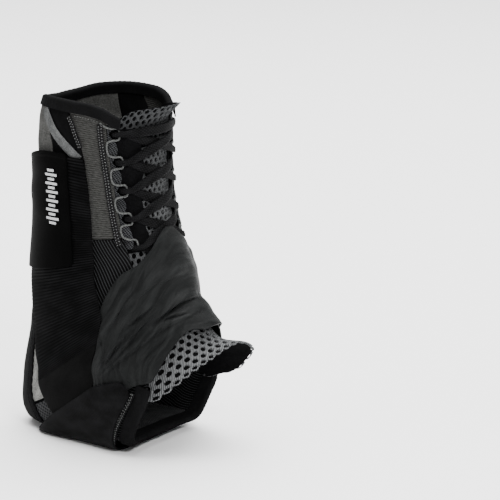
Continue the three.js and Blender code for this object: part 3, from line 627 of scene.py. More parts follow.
# Polyurethane-coated cloth, pressed smooth: black, nearly plain, with a slight gloss
def coatedCloth():
    material, tree, shader = startCloth("polyurethane_cloth_coated", 0.5, 0.006)
    grain = addNode(tree, "ShaderNodeTexNoise", {"Vector": clothUnits(tree, 0.7, 0.7), "Scale": 1,
                                                 "Detail": 3})
    wear = addNode(tree, "ShaderNodeTexNoise", {"Vector": clothUnits(tree, 12, 30), "Scale": 1,
                                                "Detail": 3})
    colourAndRelief(tree, shader, wear.outputs["Fac"], "#030303", "#070707", grain.outputs["Fac"],
                    0.03)
    return material


# Silicone rubber, printed thick: off-white, smooth, slightly rounded
def printedSilicone():
    material, tree, shader = startCloth("silicone_printed", 0.5, 0.2)
    grain = addNode(tree, "ShaderNodeTexNoise", {"Vector": clothUnits(tree, 1.5, 1.5), "Scale": 1})
    colourAndRelief(tree, shader, grain.outputs["Fac"], "#a2a3a4", "#bcbdbe", grain.outputs["Fac"],
                    0.03)
    return material


elasticPitch = 1.85        # millimetres from rib to rib, in the mesh as well
nylon = nylonTaffeta()
elastic = ribbedElastic(elasticPitch)
sideKnit = ribbedKnit()
quarterNet = diagonalNet()
facingNet = warpNet("polyester_net_facing_knitted", "#060606", "#454648", 1.5, 28, 0.3)
cupNet = warpNet("polyester_net_heel_knitted", "#111112", "#4d4e4f", 2.0, 20, 0.4)
backPile = brushedPile("polyester_loop_brushed", "#2a2a29", "#949491", 1.1, 0.3, 0.27)
tapePile = brushedPile("polyester_tape_brushed", "#252626", "#6a6b6b", 0.7, 0.4)
goreKnit = brushedPile("polyester_knit_black", "#080808", "#111112", 1.0, 0.1)
bindingKnit = knittedBinding()
strapTwill = twillWebbing("nylon_twill_strap_woven", "#030303", "#080808")
# painted highlight: the band's lighter, wider pair of colours turns the random wear patches into a soft
# sheen
bandTwill = twillWebbing("nylon_twill_band_woven", "#060606", "#131314")
laceBraid = braid("polyester_lace_braided", "#030303", "#19191a", 1.5)
stripBraid = braid("polyester_tape_woven", "#070707", "#1f1f20", 1.1)
cordYarn = spunYarn("polyester_cord_twisted", "#242525", "#606160")
greyThread = spunYarn("polyester_thread_grey", "#303131", "#6c6d6c")
blackThread = spunYarn("polyester_thread_black", "#0b0b0b", "#1b1b1c")
tongueKnit = spacerKnit()
backingKnit = brushedPile("polyester_knit_backing", "#060606", "#101011", 1.2, 0.1)
tabCloth = coatedCloth()
gripRubber = printedSilicone()
print("materials done")


# Panels: angles of their corners on the top edge, and how far each cloth bulges between its seams
panelShape = {
    "throatCorner": 57, "sideCorner": 88, "backCorner": 118, "backFrom": 0.9, "backTo": -0.44,
    "sidePuff": 0.2, "goreDip": 0.25, "backPuff": 0.25, "backCrowding": 1.3,
}


def sidePanel(side):
    def where(u, v):
        angle = mix(panelShape["throatCorner"], panelShape["sideCorner"], v)
        level = mix(quarterTop + levels(rise["seamGap"]), edge("top", angle), u)
        puff = panelShape["sidePuff"] * np.sin(math.pi * u) * np.sin(math.pi * v)
        return level, side * mix(edge("throat", level), edge("sideSeam", level) - seamTurn, v), puff
    return clothSheet(f"side_cloth_{sideNames[side]}", evenly(48), evenly(18), where, 0, rise["panel"])


def gore(side):
    def where(u, v):
        angle = mix(panelShape["sideCorner"], panelShape["backCorner"], v)
        level = mix(quarterTop + levels(rise["seamGap"]), edge("top", angle), u)
        front, back = edge("sideSeam", level) + seamTurn, edge("backSeam", level) - seamTurn
        return level, side * mix(front, back, v), -panelShape["goreDip"] * np.sin(math.pi * v)
    return clothSheet(f"gore_cloth_{sideNames[side]}", evenly(48), evenly(12), where, 0, rise["panel"])


def quarter(side):
    def where(u, v):
        low = edge("front", mix(edges["front"][0][0], soleCorner, v))
        level = mix(quarterTop, low, u)
        back = np.where(level > form["soleFrom"], edge("backSeam", level), soleCorner) - seamTurn
        return level, side * mix(edge("throat", level), back, v), 0 * u
    return clothSheet(f"quarter_net_{sideNames[side]}", evenly(80), evenly(36), where, 0, rise["panel"])


def backPanel():
    def where(u, v):
        spread = np.abs(2 * v - 1)
        seam = edge("backSeam", mix(panelShape["backFrom"], panelShape["backTo"], u))
        angle = mix(180, seam, spread)
        level = mix(edge("top", angle), edge("cup", angle) + levels(rise["seamGap"]), u)
        seam = edge("backSeam", level) + seamTurn
        puff = panelShape["backPuff"] * np.sin(math.pi * v) * np.sin(math.pi * u)
        return level, 180 + (2 * v - 1) * (180 - seam), puff
    rows = 1 - (1 - evenly(90)) ** panelShape["backCrowding"]      # closer towards the heel
    return clothSheet("back_felt", rows, evenly(44), where, 0, rise["panel"])


def solePanel():
    def where(u, v):
        angle = mix(soleCorner + seamTurn, 360 - soleCorner - seamTurn, u)
        return mix(edge("cup", angle), edge("front", angle), v), angle, 0 * u
    return clothSheet("sole_net", evenly(90), evenly(48), where, 0, rise["panel"])


for side, name in sideNames.items():
    finish(sidePanel(side), sideKnit, "rib_grey", f"side_panel_{name}")
    finish(gore(side), goreKnit, "gore_black", f"gore_{name}")
    finish(quarter(side), quarterNet, "net_black", f"quarter_{name}")
finish(backPanel(), backPile, "back_felt", "back_panel")
finish(solePanel(), cupNet, "net_black", "sole_panel")
print("panels done")


# Tongue: a dark layer, and a pierced knit over it with its holes in staggered rows. Its top and its
# toe stand away from the form, up to some angle on each side and over a span of levels.
tongueShape = {
    "top": [[-60, 0.83], [-31, 0.9], [0, 0.925], [28, 0.905], [42, 0.85], [60, 0.78]],
    "toe": [[-80, -0.66], [-58, -0.76], [-34, -0.795], [-16, -0.765], [16, -0.762], [41, -0.742],
            [57, -0.722], [71, -0.698], [81, -0.668]],
    "side": [[-0.67, 80], [-0.6, 74], [-0.45, 66], [-0.2, 60], [0.3, 58], [0.85, 58]],
    "flare": 10.2, "topFree": {"outer": (0, 46), "inner": (30, 43), "span": (0.77, 0.95)},
    "toeLift": 8.3, "toeFree": {"outer": (-30, 20), "inner": (44, 64), "span": (0.645, 0.785)},
    "pitch": 4.3, "rowShare": 0.86, "hole": 1.25, "holeStretch": 1.2, "round": 0.45, "scallop": 0.8,
    "backing": 0.6, "backingGap": 0.15,
}


def freeEnd(end, level, angle):
    return ((1 - fade(*end["outer"], angle)) * (1 - fade(*end["inner"], -angle))
            * fade(*end["span"], level))


def tongueAt(u, v):
    share = 2 * v - 1
    angle = share * readTable(tongueShape["side"], mix(0.9, -0.72, u))[..., 0]
    toe = readTable(tongueShape["toe"], share * 80)[..., 0]
    level = mix(readTable(tongueShape["top"], angle)[..., 0], toe, u)
    away = (tongueShape["flare"] * freeEnd(tongueShape["topFree"], level, angle)
            + tongueShape["toeLift"] * freeEnd(tongueShape["toeFree"], -level, angle))
    return level, angle, away


# the knit is made of like cells, each a rectangle with a round hole in it, shifted by half a
# cell in every other row; their points are shares of the cell
def tongueCells():
    fine = np.linspace(0, 1, 400)
    length = distances(place(*tongueAt(fine, fine * 0 + 0.5)[:2], rise["tongueOut"]))
    pitch = tongueShape["pitch"]
    rowStep = pitch * tongueShape["rowShare"]
    rows = int(round(length[-1] / rowStep))
    middle = place(*tongueAt(0.5, evenly(200))[:2], rise["tongueOut"])
    columns = int(round(distances(middle)[-1] / pitch))
    edgeShares = (-0.5, -0.25, 0, 0.25)
    border = np.array([[s, -0.5] for s in edgeShares] + [[0.5, -0.5], [0.5, 0]]
                      + [[-s, 0.5] for s in edgeShares] + [[-0.5, 0.5], [-0.5, 0]])
    turn = np.arctan2(border[:, 1] * tongueShape["rowShare"], border[:, 0])
    ring = np.stack([np.cos(turn), np.sin(turn) * tongueShape["holeStretch"]], -1)
    hole = ring * tongueShape["hole"] / [pitch, rowStep]
    shoulder = mix(hole, border, 0.45)
    top = rise["tongueOut"]
    low = rise["tongueIn"] + tongueShape["backing"] + tongueShape["backingGap"]
    soft = tongueShape["round"]
    layers = [(border, top - 0.05), (shoulder, top), (mix(hole, border, 0.12), top - soft * 0.45),
              (hole, top - soft * 1.6), (hole, low), (border, low)]
    outlines = np.stack([cell for cell, _ in layers])            # layer, corner, (across, down)
    depths = np.array([height for _, height in layers])
    row, column = (a.ravel() for a in np.meshgrid(np.arange(rows), np.arange(columns), indexing="ij"))
    centre = column + 0.5 + 0.5 * (row % 2) - 0.25
    down = row[:, None, None] + 0.5 + outlines[None, ..., 1]
    over = centre[:, None, None] + outlines[None, ..., 0]
    # the outer borders of the first and the last row are cut in scallops
    lobe = np.cos(2 * math.pi * outlines[..., 0]) * tongueShape["scallop"] / rowStep
    last = (row[:, None, None] == rows - 1) & (outlines[None, ..., 1] > 0.45)
    down = down + np.where(last, lobe[None] - 0.35, 0)
    first = (row[:, None, None] == 0) & (outlines[None, ..., 1] < -0.45)
    down = down - np.where(first, lobe[None] - 0.35, 0)
    share = down / rows
    u = np.interp(share * length[-1], length, fine) + np.minimum(share, 0) + np.maximum(share - 1, 0)
    level, angle, raised = tongueAt(u, np.clip(over / columns, 0, 1))
    points = place(level, angle, raised + depths[None, :, None])
    uv = np.stack([over * pitch, down * rowStep], -1)
    return points.reshape(-1, 3), uv.reshape(-1, 2), len(row), len(layers), len(border)


def tongueMesh():
    points, uv, cells, layers, corners = tongueCells()
    faces = []
    base = np.arange(cells) * layers * corners
    for layer in range(layers - 1):
        for n in range(corners):
            m = (n + 1) % corners
            a, b = layer * corners, (layer + 1) * corners
            faces.append(np.stack([base + a + n, base + a + m, base + b + m, base + b + n], -1))
    quads = np.concatenate(faces)
    piece = newPiece("tongue_knit", points, quads.tolist())
    setCloth(piece.data, uv[quads.ravel()])
    selectOnly(piece)
    bpy.ops.object.mode_set(mode="EDIT")
    bpy.ops.mesh.select_all(action="SELECT")
    bpy.ops.mesh.remove_doubles(threshold=0.02 * mm)
    bpy.ops.mesh.select_all(action="DESELECT")
    bpy.ops.mesh.select_non_manifold()
    bpy.ops.mesh.bridge_edge_loops()
    bpy.ops.mesh.select_all(action="SELECT")
    bpy.ops.mesh.normals_make_consistent(inside=False)
    bpy.ops.object.mode_set(mode="OBJECT")
    smooth(piece, 70)
    return piece


def tongueBacking():
    def where(u, v):
        return tongueAt(mix(0.004, 0.994, u), mix(0.01, 0.99, v))
    low = rise["tongueIn"]
    return clothSheet("tongue_backing", evenly(120), evenly(50), where, low,
                      low + tongueShape["backing"], 0.15)


finish(tongueMesh(), tongueKnit, "tongue_knit", "tongue")
finish(tongueBacking(), backingKnit, "tongue_knit")
print("tongue done")


# Straps: sewn end over the instep, down the side, under the heel and up to the tab.
# step, rear level, rear angle, front level, front angle; angles count from the sewn side
strapShape = {
    "medialStart": [
        [0, -0.3, -64, -0.56, -62], [1, -0.2, -42, -0.6, -36], [2, -0.08, -16, -0.625, -12],
        [3, -0.014, 3, -0.63, 5], [4, -0.13, 27, -0.59, 22],
    ],
    "lateralStart": [
        [0, -0.3, -62, -0.55, -60], [1, -0.24, -40, -0.57, -36], [2, -0.15, -18, -0.58, -14],
        [3, -0.12, 2, -0.595, 4], [4, -0.15, 22, -0.59, 22],
    ],
    "course": [
        [5, -0.187, 41, -0.613, 38], [6, -0.205, 52, -0.645, 57], [7, -0.247, 61, -0.648, 64],
        [8, -0.328, 73, -0.617, 70], [9, -0.406, 76, -0.602, 74], [10, -0.456, 83.5, -0.596, 79],
        [11, -0.506, 89, -0.6, 86], [12, -0.53, 104, -0.62, 104], [13, -0.54, 118, -0.622, 118],
        [14, -0.54, 130, -0.624, 130], [15, -0.535, 142, -0.622, 142], [16, -0.525, 160, -0.618, 160],
        [17, -0.51, 180, -0.61, 180], [18, -0.5, 200, -0.6, 200], [19, -0.49, 218, -0.588, 218],
        [20, -0.484, 230, -0.567, 230], [21, -0.481, 242, -0.548, 242], [22, -0.479, 243, -0.525, 257],
        [23, -0.467, 243, -0.5, 271], [24, -0.444, 244, -0.45, 276.5], [25, -0.41, 244.5, -0.417, 282.5],
        [26, -0.387, 245.5, -0.378, 286], [27, -0.344, 242.5, -0.333, 289], [28, -0.272, 237, -0.26, 289],
        [29, -0.2, 229.5, -0.19, 288], [30, -0.133, 218, -0.12, 289], [31, -0.01, 214, -0.01, 289],
        [32, 0.1, 215, 0.1, 289], [33, 0.3, 215.5, 0.3, 288], [34, 0.465, 216, 0.54, 284],
    ],
    "soleStep": 17, "joinStep": 25.3, "mouthStep": 23, "clearStep": 26, "sideStep": 27, "lastStep": 34,
    "edgeLift": 0.8, "ridgeDrop": 2.7, "ridge": (32, 45), "endBulge": 0.035, "ribHeight": 0.2,
    "hem": 3.0, "hemHeight": 0.3, "frontHem": 0.3, "frontHemFrom": 0.93,
    "settleFrom": -0.2, "settleTo": 0,
    "crease": 0.75, "foldScale": 1.6, "foldsFade": (10, 13), "foldsTurn": (76, 85),
    "waves": 5.5, "waveHeight": 0.25,
}

# folds of the gathered nylon, each along a few places (level, angle): height of the ridge above
# the line, its half width, and depth of the crease in it
nylonFolds = [
    {"ridge": 1.9, "width": 2.6, "crease": 1.4,
     "line": [(-0.47, 44), (-0.463, 38), (-0.454, 31), (-0.449, 24), (-0.445, 15), (-0.447, 3),
              (-0.45, -10)]},
    {"ridge": 0.9, "width": 1.6, "crease": 0.9,
     "line": [(-0.474, 36), (-0.476, 29), (-0.488, 22), (-0.504, 10)]},
    {"ridge": 1.0, "width": 2.2, "crease": 1.0,
     "line": [(-0.415, 56), (-0.408, 50), (-0.399, 41), (-0.39, 34)]},
    {"ridge": 1.5, "width": 2.0, "crease": 0.3,
     "line": [(-0.5, 93), (-0.497, 88), (-0.483, 77), (-0.454, 64), (-0.433, 56), (-0.415, 48)]},
    {"ridge": 1.3, "width": 1.8, "crease": 0.4,
     "line": [(-0.497, 90), (-0.49, 72), (-0.474, 59), (-0.451, 48), (-0.435, 39), (-0.42, 30)]},
    {"ridge": 1.5, "width": 2.3, "crease": 0.5,
     "line": [(-0.506, 84), (-0.506, 64), (-0.51, 50), (-0.51, 36), (-0.519, 24), (-0.53, 12)]},
    {"ridge": 1.2, "width": 2.6, "crease": 0.2,
     "line": [(-0.43, 80), (-0.417, 75), (-0.379, 65), (-0.336, 56), (-0.29, 47), (-0.25, 38)]},
    {"ridge": 1.1, "width": 3.0, "crease": 0.2,
     "line": [(-0.34, 54), (-0.326, 47), (-0.311, 35), (-0.306, 23), (-0.299, 8), (-0.3, -6)]},
    {"ridge": 0.8, "width": 1.9, "crease": 0.4,
     "line": [(-0.56, 66), (-0.555, 54), (-0.55, 40), (-0.553, 28)]},
]


# height of the folds, from the distance to each one's line and the side that it is on
def foldHeight(level, angle, side):
    height, count = 5, 60        # where the distances are taken, and points on each line
    cloth, up = place(level, angle, height), formUp(level, angle)
    total = np.zeros(cloth.shape[:-1])
    for fold in nylonFolds:
        stops = np.array(fold["line"])
        line = splined(place(stops[:, 0], side * stops[:, 1], height), count)
        away = cloth[..., None, :] - line
        gaps = np.linalg.norm(away, axis=-1)
        nearest = gaps.argmin(-1)[..., None]
        gap = np.take_along_axis(gaps, nearest, -1)[..., 0]
        offset = np.take_along_axis(away, nearest[..., None], -2)[..., 0, :]
        above = gap * np.sign((offset * up).sum(-1))
        crest = 0.6 * fold["width"]              # the fold is steep below its crest, flat above it
        width = fold["width"] * np.where(above > crest, 1.5, 0.62)
        ridge = fold["ridge"] * np.exp(-((above - crest) / width) ** 2)
        crease = fold["crease"] * np.exp(-((above + 0.4) / strapShape["crease"]) ** 2)
        ends = np.sin(math.pi * nearest[..., 0] / (count - 1)) ** 0.8
        total += strapShape["foldScale"] * (ridge - crease) * ends
    return total * (1 - fade(*strapShape["foldsTurn"], np.abs(angle)))


# how far the strap's end has come down from the layers under it
def settled(level):
    return fade(strapShape["settleFrom"], strapShape["settleTo"], level)


def strapAt(strap):
    course = strap["start"] + strapShape["course"]
    side, foldsFrom = strap["sewnTo"], strap["foldsFrom"]

    def where(step, v):
        rearLevel, rearAngle, frontLevel, frontAngle = np.moveaxis(readTable(course, step), -1, 0)
        level, angle = mix(rearLevel, frontLevel, v), side * mix(rearAngle, frontAngle, v)
        level = level + strapShape["endBulge"] * np.sin(math.pi * v) * fade(31, 34, step)
        lifted = strapShape["edgeLift"] * np.maximum(1 - 2 * v, 0) ** 2
        onRidge = (1 - fade(*strapShape["ridge"], np.abs(angle))) * fade(-0.53, -0.42, level)
        raised = (strap["climb"] * fade(strapShape["mouthStep"], strapShape["clearStep"], step)
                  - strap["settle"] * settled(level) * (step > strapShape["sideStep"])
                  + lifted * fade(strapShape["sideStep"], strapShape["sideStep"] + 2, step)
                  - strapShape["ridgeDrop"] * onRidge)
        if np.min(step) < strapShape["foldsFade"][0]:
            across = strapShape["waves"] * v + 0.25 * np.sin(0.8 * step)
            waves = np.sin(2 * math.pi * across) * np.sin(0.55 * step + 1.3)
            soft = fade(foldsFrom, foldsFrom + 1.8, step) * (1 - fade(*strapShape["foldsFade"], step))
            raised = raised + soft * (foldHeight(level, angle, side) + strapShape["waveHeight"] * waves)
            hem = fade(strapShape["frontHemFrom"], strapShape["frontHemFrom"] + 0.015, v)
            raised = raised + strapShape["frontHem"] * hem * soft
        return level, angle, raised
    return where


# steps at even distances along the cloth, with the table that gives them
def stepsByDistance(where, first, last, spacing):
    fine = np.linspace(first, last, 1500)
    way = distances(place(*where(fine, fine * 0 + 0.5)[:2], rise["strap"]))
    count = int(way[-1] / spacing)
    return np.interp(np.linspace(0, way[-1], count + 1), way, fine), way, fine


def strapPlain(name, where, height, first, last, spacing, columns):
    steps, _, _ = stepsByDistance(where, first, last, spacing)
    return clothSheet(name, steps, evenly(columns), where, height, height + rise["strapWall"], 0.2)


def strapElastic(name, where, height):
    steps, way, fine = stepsByDistance(where, strapShape["joinStep"], strapShape["lastStep"], 0.31)

    def ribbed(step, v):
        level, angle, raised = where(step, v)
        along = np.interp(step, fine, way)
        ribs = 0.5 - 0.5 * np.cos(2 * math.pi * along / elasticPitch)
        hem = fade(strapShape["hem"] + 0.5, strapShape["hem"], way[-1] - along) * strapShape["hemHeight"]
        return level, angle, raised + strapShape["ribHeight"] * (ribs - 1) + hem
    return clothSheet(name, steps, evenly(18), ribbed, height, height + rise["strapWall"], 0.2)


# each strap by the side of its tab: it climbs over the other one past the band, and settles on the
# leg higher up; its folds begin at a step of its course
straps = {
    outerSide: {"name": "strap_lateral", "sewnTo": innerSide, "start": strapShape["lateralStart"],
                "height": rise["strap"], "climb": 2 * rise["strapStep"], "settle": 2.3, "foldsFrom": 7},
    innerSide: {"name": "strap_medial", "sewnTo": outerSide, "start": strapShape["medialStart"],
                "height": rise["strap"] + rise["strapStep"], "climb": 0, "settle": 0, "foldsFrom": 0},
}
for strap in straps.values():
    name, where, height = strap["name"], strapAt(strap), strap["height"]
    soleStep, joinStep = strapShape["soleStep"], strapShape["joinStep"]
    finish(strapPlain(f"{name}_nylon", where, height, 0, soleStep, 1.15, 84), nylon, "strap_nylon", name)
    finish(strapPlain(f"{name}_webbing", where, height, soleStep, joinStep, 1.6, 40), strapTwill,
           "strap_nylon")
    finish(strapElastic(f"{name}_elastic", where, height), elastic, "strap_nylon")
print("straps done")


# Heel band, under the heel and up both sides: angle, rear level, front level
bandRows = [
    [75, -0.56, -0.6], [78, -0.545, -0.622], [84, -0.522, -0.626], [91, -0.502, -0.63],
    [106, -0.486, -0.636], [119, -0.478, -0.642], [130, -0.476, -0.648], [150, -0.478, -0.658],
    [180, -0.48, -0.666],
]


def heelBand():
    def where(u, v):
        angle = mix(bandRows[0][0], 360 - bandRows[0][0], u)
        rear, front = np.moveaxis(readTable(bandRows, 180 - np.abs(180 - angle)), -1, 0)
        return mix(rear, front, v), angle, 0 * u
    return clothSheet("heel_twill", evenly(150), evenly(30), where, rise["band"],
                      rise["band"] + rise["bandWall"], 0.4)


finish(heelBand(), bandTwill, "band_twill", "heel_band")


# Hook tabs on the rear part of the strap ends
# share of its length, rear level, rear angle, front level, front angle
tabRows = [[0, 0.475, 144, 0.565, 89], [0.5, 0.17, 145.5, 0.215, 88], [1, -0.14, 147, -0.138, 86]]
tabShape = {
    "share": 0.62, "corner": 1.8, "length": 70, "width": 36, "hem": 3.2, "hemHeight": 0.25, "gap": 0.25,
    "bars": 13, "barsFrom": 0.2, "barsTo": 0.79, "barWidth": 1.6, "barWall": 0.5, "barGap": 0.15,
    "barSquareness": 2.4, "barEnds": [(0.67, 0.79), (0.62, 0.84)],
}


def tabAt(side, settle):
    def where(u, v):
        rearLevel, rear, frontLevel, front = np.moveaxis(readTable(tabRows, u), -1, 0)
        short = np.clip(1 - np.minimum(u, 1 - u) * tabShape["length"] / tabShape["corner"], 0, 1)
        inset = tabShape["corner"] * (1 - np.sqrt(1 - short ** 2)) / tabShape["width"]
        over = mix(inset, 1 - inset, v)
        bulge = strapShape["endBulge"] * np.sin(math.pi * over) * (1 - u) ** 2
        level = mix(rearLevel, frontLevel, over) + bulge
        lifted = strapShape["edgeLift"] * np.maximum(1 - 2 * over * tabShape["share"], 0) ** 2
        hem = tabShape["hemHeight"] * fade(tabShape["hem"] + 0.5, tabShape["hem"], u * tabShape["length"])
        return level, side * mix(rear, front, over), lifted + hem + settle * (1 - settled(level))
    return where


# small plain bars of rubber printed on the tab
def tabBars(side, height):
    where = tabAt(side, 0)
    bars = []
    for index in range(tabShape["bars"]):
        u = mix(tabShape["barsFrom"], tabShape["barsTo"], index / (tabShape["bars"] - 1))
        ends = tabShape["barEnds"][index % 2]
        bars.append(tape(f"tab_bar_{index}", lambda t: where(0 * t + u, mix(*ends, t))[:2],
                         tabShape["barWidth"], tabShape["barWall"], height + tabShape["barGap"],
                         tabShape["barSquareness"]))
    selectOnly(bars[0])
    for bar in bars:
        bar.select_set(True)
    bpy.ops.object.join()
    piece = bpy.context.object
    piece.name = piece.data.name = f"tab_bars_{sideNames[side]}"
    return piece


for side, strap in straps.items():
    settle = strap["settle"]
    height = strap["height"] + strap["climb"] - settle + rise["strapWall"] + tabShape["gap"]
    rows = 0.5 - 0.5 * np.cos(math.pi * evenly(70))
    name = f"tab_{sideNames[side]}"
    finish(clothSheet(f"{name}_cloth", rows, evenly(30), tabAt(side, settle), height,
                      height + rise["tabWall"], 0.3), tabCloth, "tab_black", name)
    finish(tabBars(side, height + rise["tabWall"]), gripRubber, "tab_black")
print("band and tabs done")


# Bindings folded over the top edge and the front edge
bindingShape = {
    "wall": 0.7, "topWidth": 7, "frontWidth": 9, "topEnds": 44, "frontEnds": 70, "pucker": 0.12,
    "pastEdge": 0.7, "turnShare": 0.98, "turnedUnder": 1.2,
}


# beyond is 1 where the fold is above the edge and -1 where it is below
def binding(name, angles, edgeName, beyond, width):
    half = bindingShape["wall"] / 2
    inner, outer = -rise["seamGap"] - half, rise["panel"] + rise["seamGap"] + half
    radius = (outer - inner) / 2
    bend = bindingShape["pastEdge"] + half - radius * bindingShape["turnShare"]
    low = bindingShape["turnedUnder"] - width
    leg, turn = evenly(10), np.linspace(-90, 90, 15)[1:-1]
    out = np.concatenate([mix(low, bend, leg), bend + radius * np.cos(np.radians(turn)),
                          mix(bend, low, leg)])
    up = np.concatenate([leg * 0 + inner, (inner + outer) / 2 + radius * np.sin(np.radians(turn)),
                         leg * 0 + outer])
    profile = np.arange(len(out)) / (len(out) - 1)

    def where(u, v):
        angle = np.interp(u, evenly(len(angles) - 1), angles)
        level = edge(edgeName, angle)
        step = 0.01
        scale = np.linalg.norm(formPoint(level + step, angle) - formPoint(level, angle), axis=-1) / step
        puckers = bindingShape["pucker"] * np.sin(angle * 1.9) * np.cos(angle * 0.63)
        away = np.interp(v, profile, out) + puckers
        return level + beyond * away / scale, angle, np.interp(v, profile, up) + puckers
    piece = clothGrid(name, evenly(len(angles) - 1), profile, where, 0)
    applyModifier(piece, "SOLIDIFY", thickness=bindingShape["wall"] * mm, offset=0)
    smooth(piece, 50)
    return piece


topAngles = np.linspace(bindingShape["topEnds"], 360 - bindingShape["topEnds"], 300)
frontAngles = np.linspace(bindingShape["frontEnds"], 360 - bindingShape["frontEnds"], 260)
finish(binding("top_edging", topAngles, "top", 1, bindingShape["topWidth"]), bindingKnit,
       "binding_black", "top_binding")
finish(binding("front_edging", frontAngles, "front", -1, bindingShape["frontWidth"]), bindingKnit,
       "binding_black", "front_binding")
print("bindings done")


# Tapes: widths, walls and heights, and from where to where each runs
tapes = {
    "throatWidth": 3.6, "throatIn": 3.0, "seamWidth": 3.0, "seamLevels": (0.85, 0.62),
    "slantWidth": 6.5, "slantWall": 0.8, "slantHeight": 2.6, "slantLevels": (0.865, 0.522),
    "slantAngles": (121, 80.2),
    "frontWidth": 3.0, "frontAngles": (76, 124), "frontIn": (0.042, 0.045),
}


def throatStops(side):
    def stops(t):
        top = float(edge("top", panelShape["throatCorner"])) - levels(bindingShape["topWidth"])
        level = mix(quarterTop - 0.03, top, t)
        return level, side * (edge("throat", level) + degrees(tapes["throatIn"]))
    return stops


def slantStops(side):
    return lambda t: (mix(*tapes["slantLevels"], t), side * mix(*tapes["slantAngles"], t))


def seamStops(side):
    def stops(t):
        level = mix(*tapes["seamLevels"], t)
        return level, side * edge("sideSeam", level)
    return stops


def frontStops(side):
    def stops(t):
        angle = mix(*tapes["frontAngles"], t)
        return edge("front", angle) + mix(*tapes["frontIn"], t), side * angle
    return stops


for side, name in sideNames.items():
    finish(tape(f"throat_braid_{name}", throatStops(side), tapes["throatWidth"], rise["trimWall"],
                rise["trim"], 5), stripBraid, "strip_black", f"throat_strip_{name}")
    finish(tape(f"slant_pile_{name}", slantStops(side), tapes["slantWidth"], tapes["slantWall"],
                tapes["slantHeight"]), tapePile, "tape_pale", f"slant_tape_{name}")
    finish(tape(f"seam_braid_{name}", seamStops(side), tapes["seamWidth"], rise["trimWall"],
                rise["trim"], 4), stripBraid, "tape_grey", f"seam_tape_{name}")
    finish(tape(f"front_braid_{name}", frontStops(side), tapes["frontWidth"], rise["trimWall"],
                rise["trim"] + bindingShape["wall"] + rise["seamGap"], 3), stripBraid,
           "tape_grey", f"front_tape_{name}")


# patch over the back of the heel: its half width along it in degrees, and its lower edge
heelPatch = {
    "top": -0.17, "half": [[0, 38], [0.12, 45], [0.35, 50.5], [0.6, 53], [0.85, 49.5], [1, 44]],
    "low": [[130, -0.488], [137, -0.48], [147, -0.462], [160, -0.441], [180, -0.427]],
    "bead": 0.6, "beads": 26, "gap": 0.15, "wall": 1.0, "stitchesIn": 0.03,
}


def heelEdge(u, v):
    half = readTable(heelPatch["half"], u)[..., 0]
    low = readTable(heelPatch["low"], 180 - np.abs(2 * v - 1) * heelPatch["half"][-1][1])[..., 0]
    return mix(heelPatch["top"], low, u), 180 + (2 * v - 1) * half


def heelTape():
    def where(u, v):
        level, angle = heelEdge(u, v)
        beads = np.abs(np.sin(math.pi * u * heelPatch["beads"])) * np.abs(2 * v - 1) ** 8
        return level, angle + np.sign(v - 0.5) * degrees(heelPatch["bead"] * beads), 0 * u
    low = rise["panel"] + heelPatch["gap"]
    return clothSheet("heel_patch", evenly(156), evenly(40), where, low, low + heelPatch["wall"], 0.35)


finish(heelTape(), bindingKnit, "binding_black", "heel_tape")
print("tapes done")


# Lacing: the loops of cord, the flat lace that is gathered in them, and the cloths behind
lacing = {
    "loops": 5, "top": 58.3, "pitch": 17.5, "reach": 6.6, "height": 7.2, "cord": 1.25, "twist": 2.8,
    "barHeight": 0.95, "laceWidth": 6.2, "laceWall": 1.1, "gather": 3.4, "turn": 0.8, "grooves": 0.22,
    "crossAt": (0.3, 0.5, 0.7), "topBar": (20, 0, -20), "tails": [(-0.05, 22), (-0.12, 12)],
}
facingShape = {
    "top": 0.8, "bottom": -0.1, "narrow": 1.0, "wide": 5.2, "under": 0.2, "low": 1.0, "high": 2.2,
}
wingShape = {"top": 0.76, "bottom": -0.12, "reach": 22, "under": 2, "low": -1.55, "high": -1.15}
cordRest = rise["panel"] + 0.1 + lacing["cord"] / 2


def loopLevel(index):
    return levels(lacing["top"] - index * lacing["pitch"])


def barAngle(level):
    return float(edge("throat", level)) - degrees(lacing["reach"])


# cord sewn along the lacing edge, out into a loop for each crossing
def loopCord(side):
    legs = lacing["height"] / 2
    # along the lacing edge from the loop, out from that edge, share of the way to the bar's height
    course = [(legs + 3.6, -0.5, 0), (legs + 1.2, 0.2, 0.02), (legs + 0.1, 2.6, 0.3),
              (legs * 0.85, lacing["reach"], 1)]
    stops = []
    for index in range(lacing["loops"]):
        middle = loopLevel(index)
        for way in (1, -1):
            out = []
            if index == lacing["loops"] - 1 and way == -1:
                stops.append([middle, barAngle(middle), lacing["barHeight"]])
                continue
            for along, across, share in course:
                if index == 0 and way == 1 and across < 1:      # the cord's end lies further in
                    across = -3.2 if across < 0 else -0.3
                level = middle + way * levels(along)
                out.append([level, float(edge("throat", level)) - degrees(across),
                            mix(cordRest, lacing["barHeight"], share)])
            stops += out if way == 1 else out[::-1]
    stops = np.array(stops)
    points = place(stops[:, 0], side * stops[:, 1], stops[:, 2])
    line = splined(np.column_stack([points, stops[:, 0], side * stops[:, 1]]), 1000)
    turn = 2 * math.pi * distances(line[:, :3]) / lacing["twist"]
    sides = np.arange(14) * 2 * math.pi / 14
    radius = lacing["cord"] / 2 * (0.86 + 0.14 * np.abs(np.cos(sides[None] - turn[:, None])) * 1.6)
    rings = np.stack([radius * np.cos(sides), radius * np.sin(sides)], -1)
    hints = np.cross(np.gradient(line[:, :3], axis=0), formNormal(line[:, 3], line[:, 4]))
    return sweep(f"loop_twine_{sideNames[side]}", line[:, :3], hints, rings)


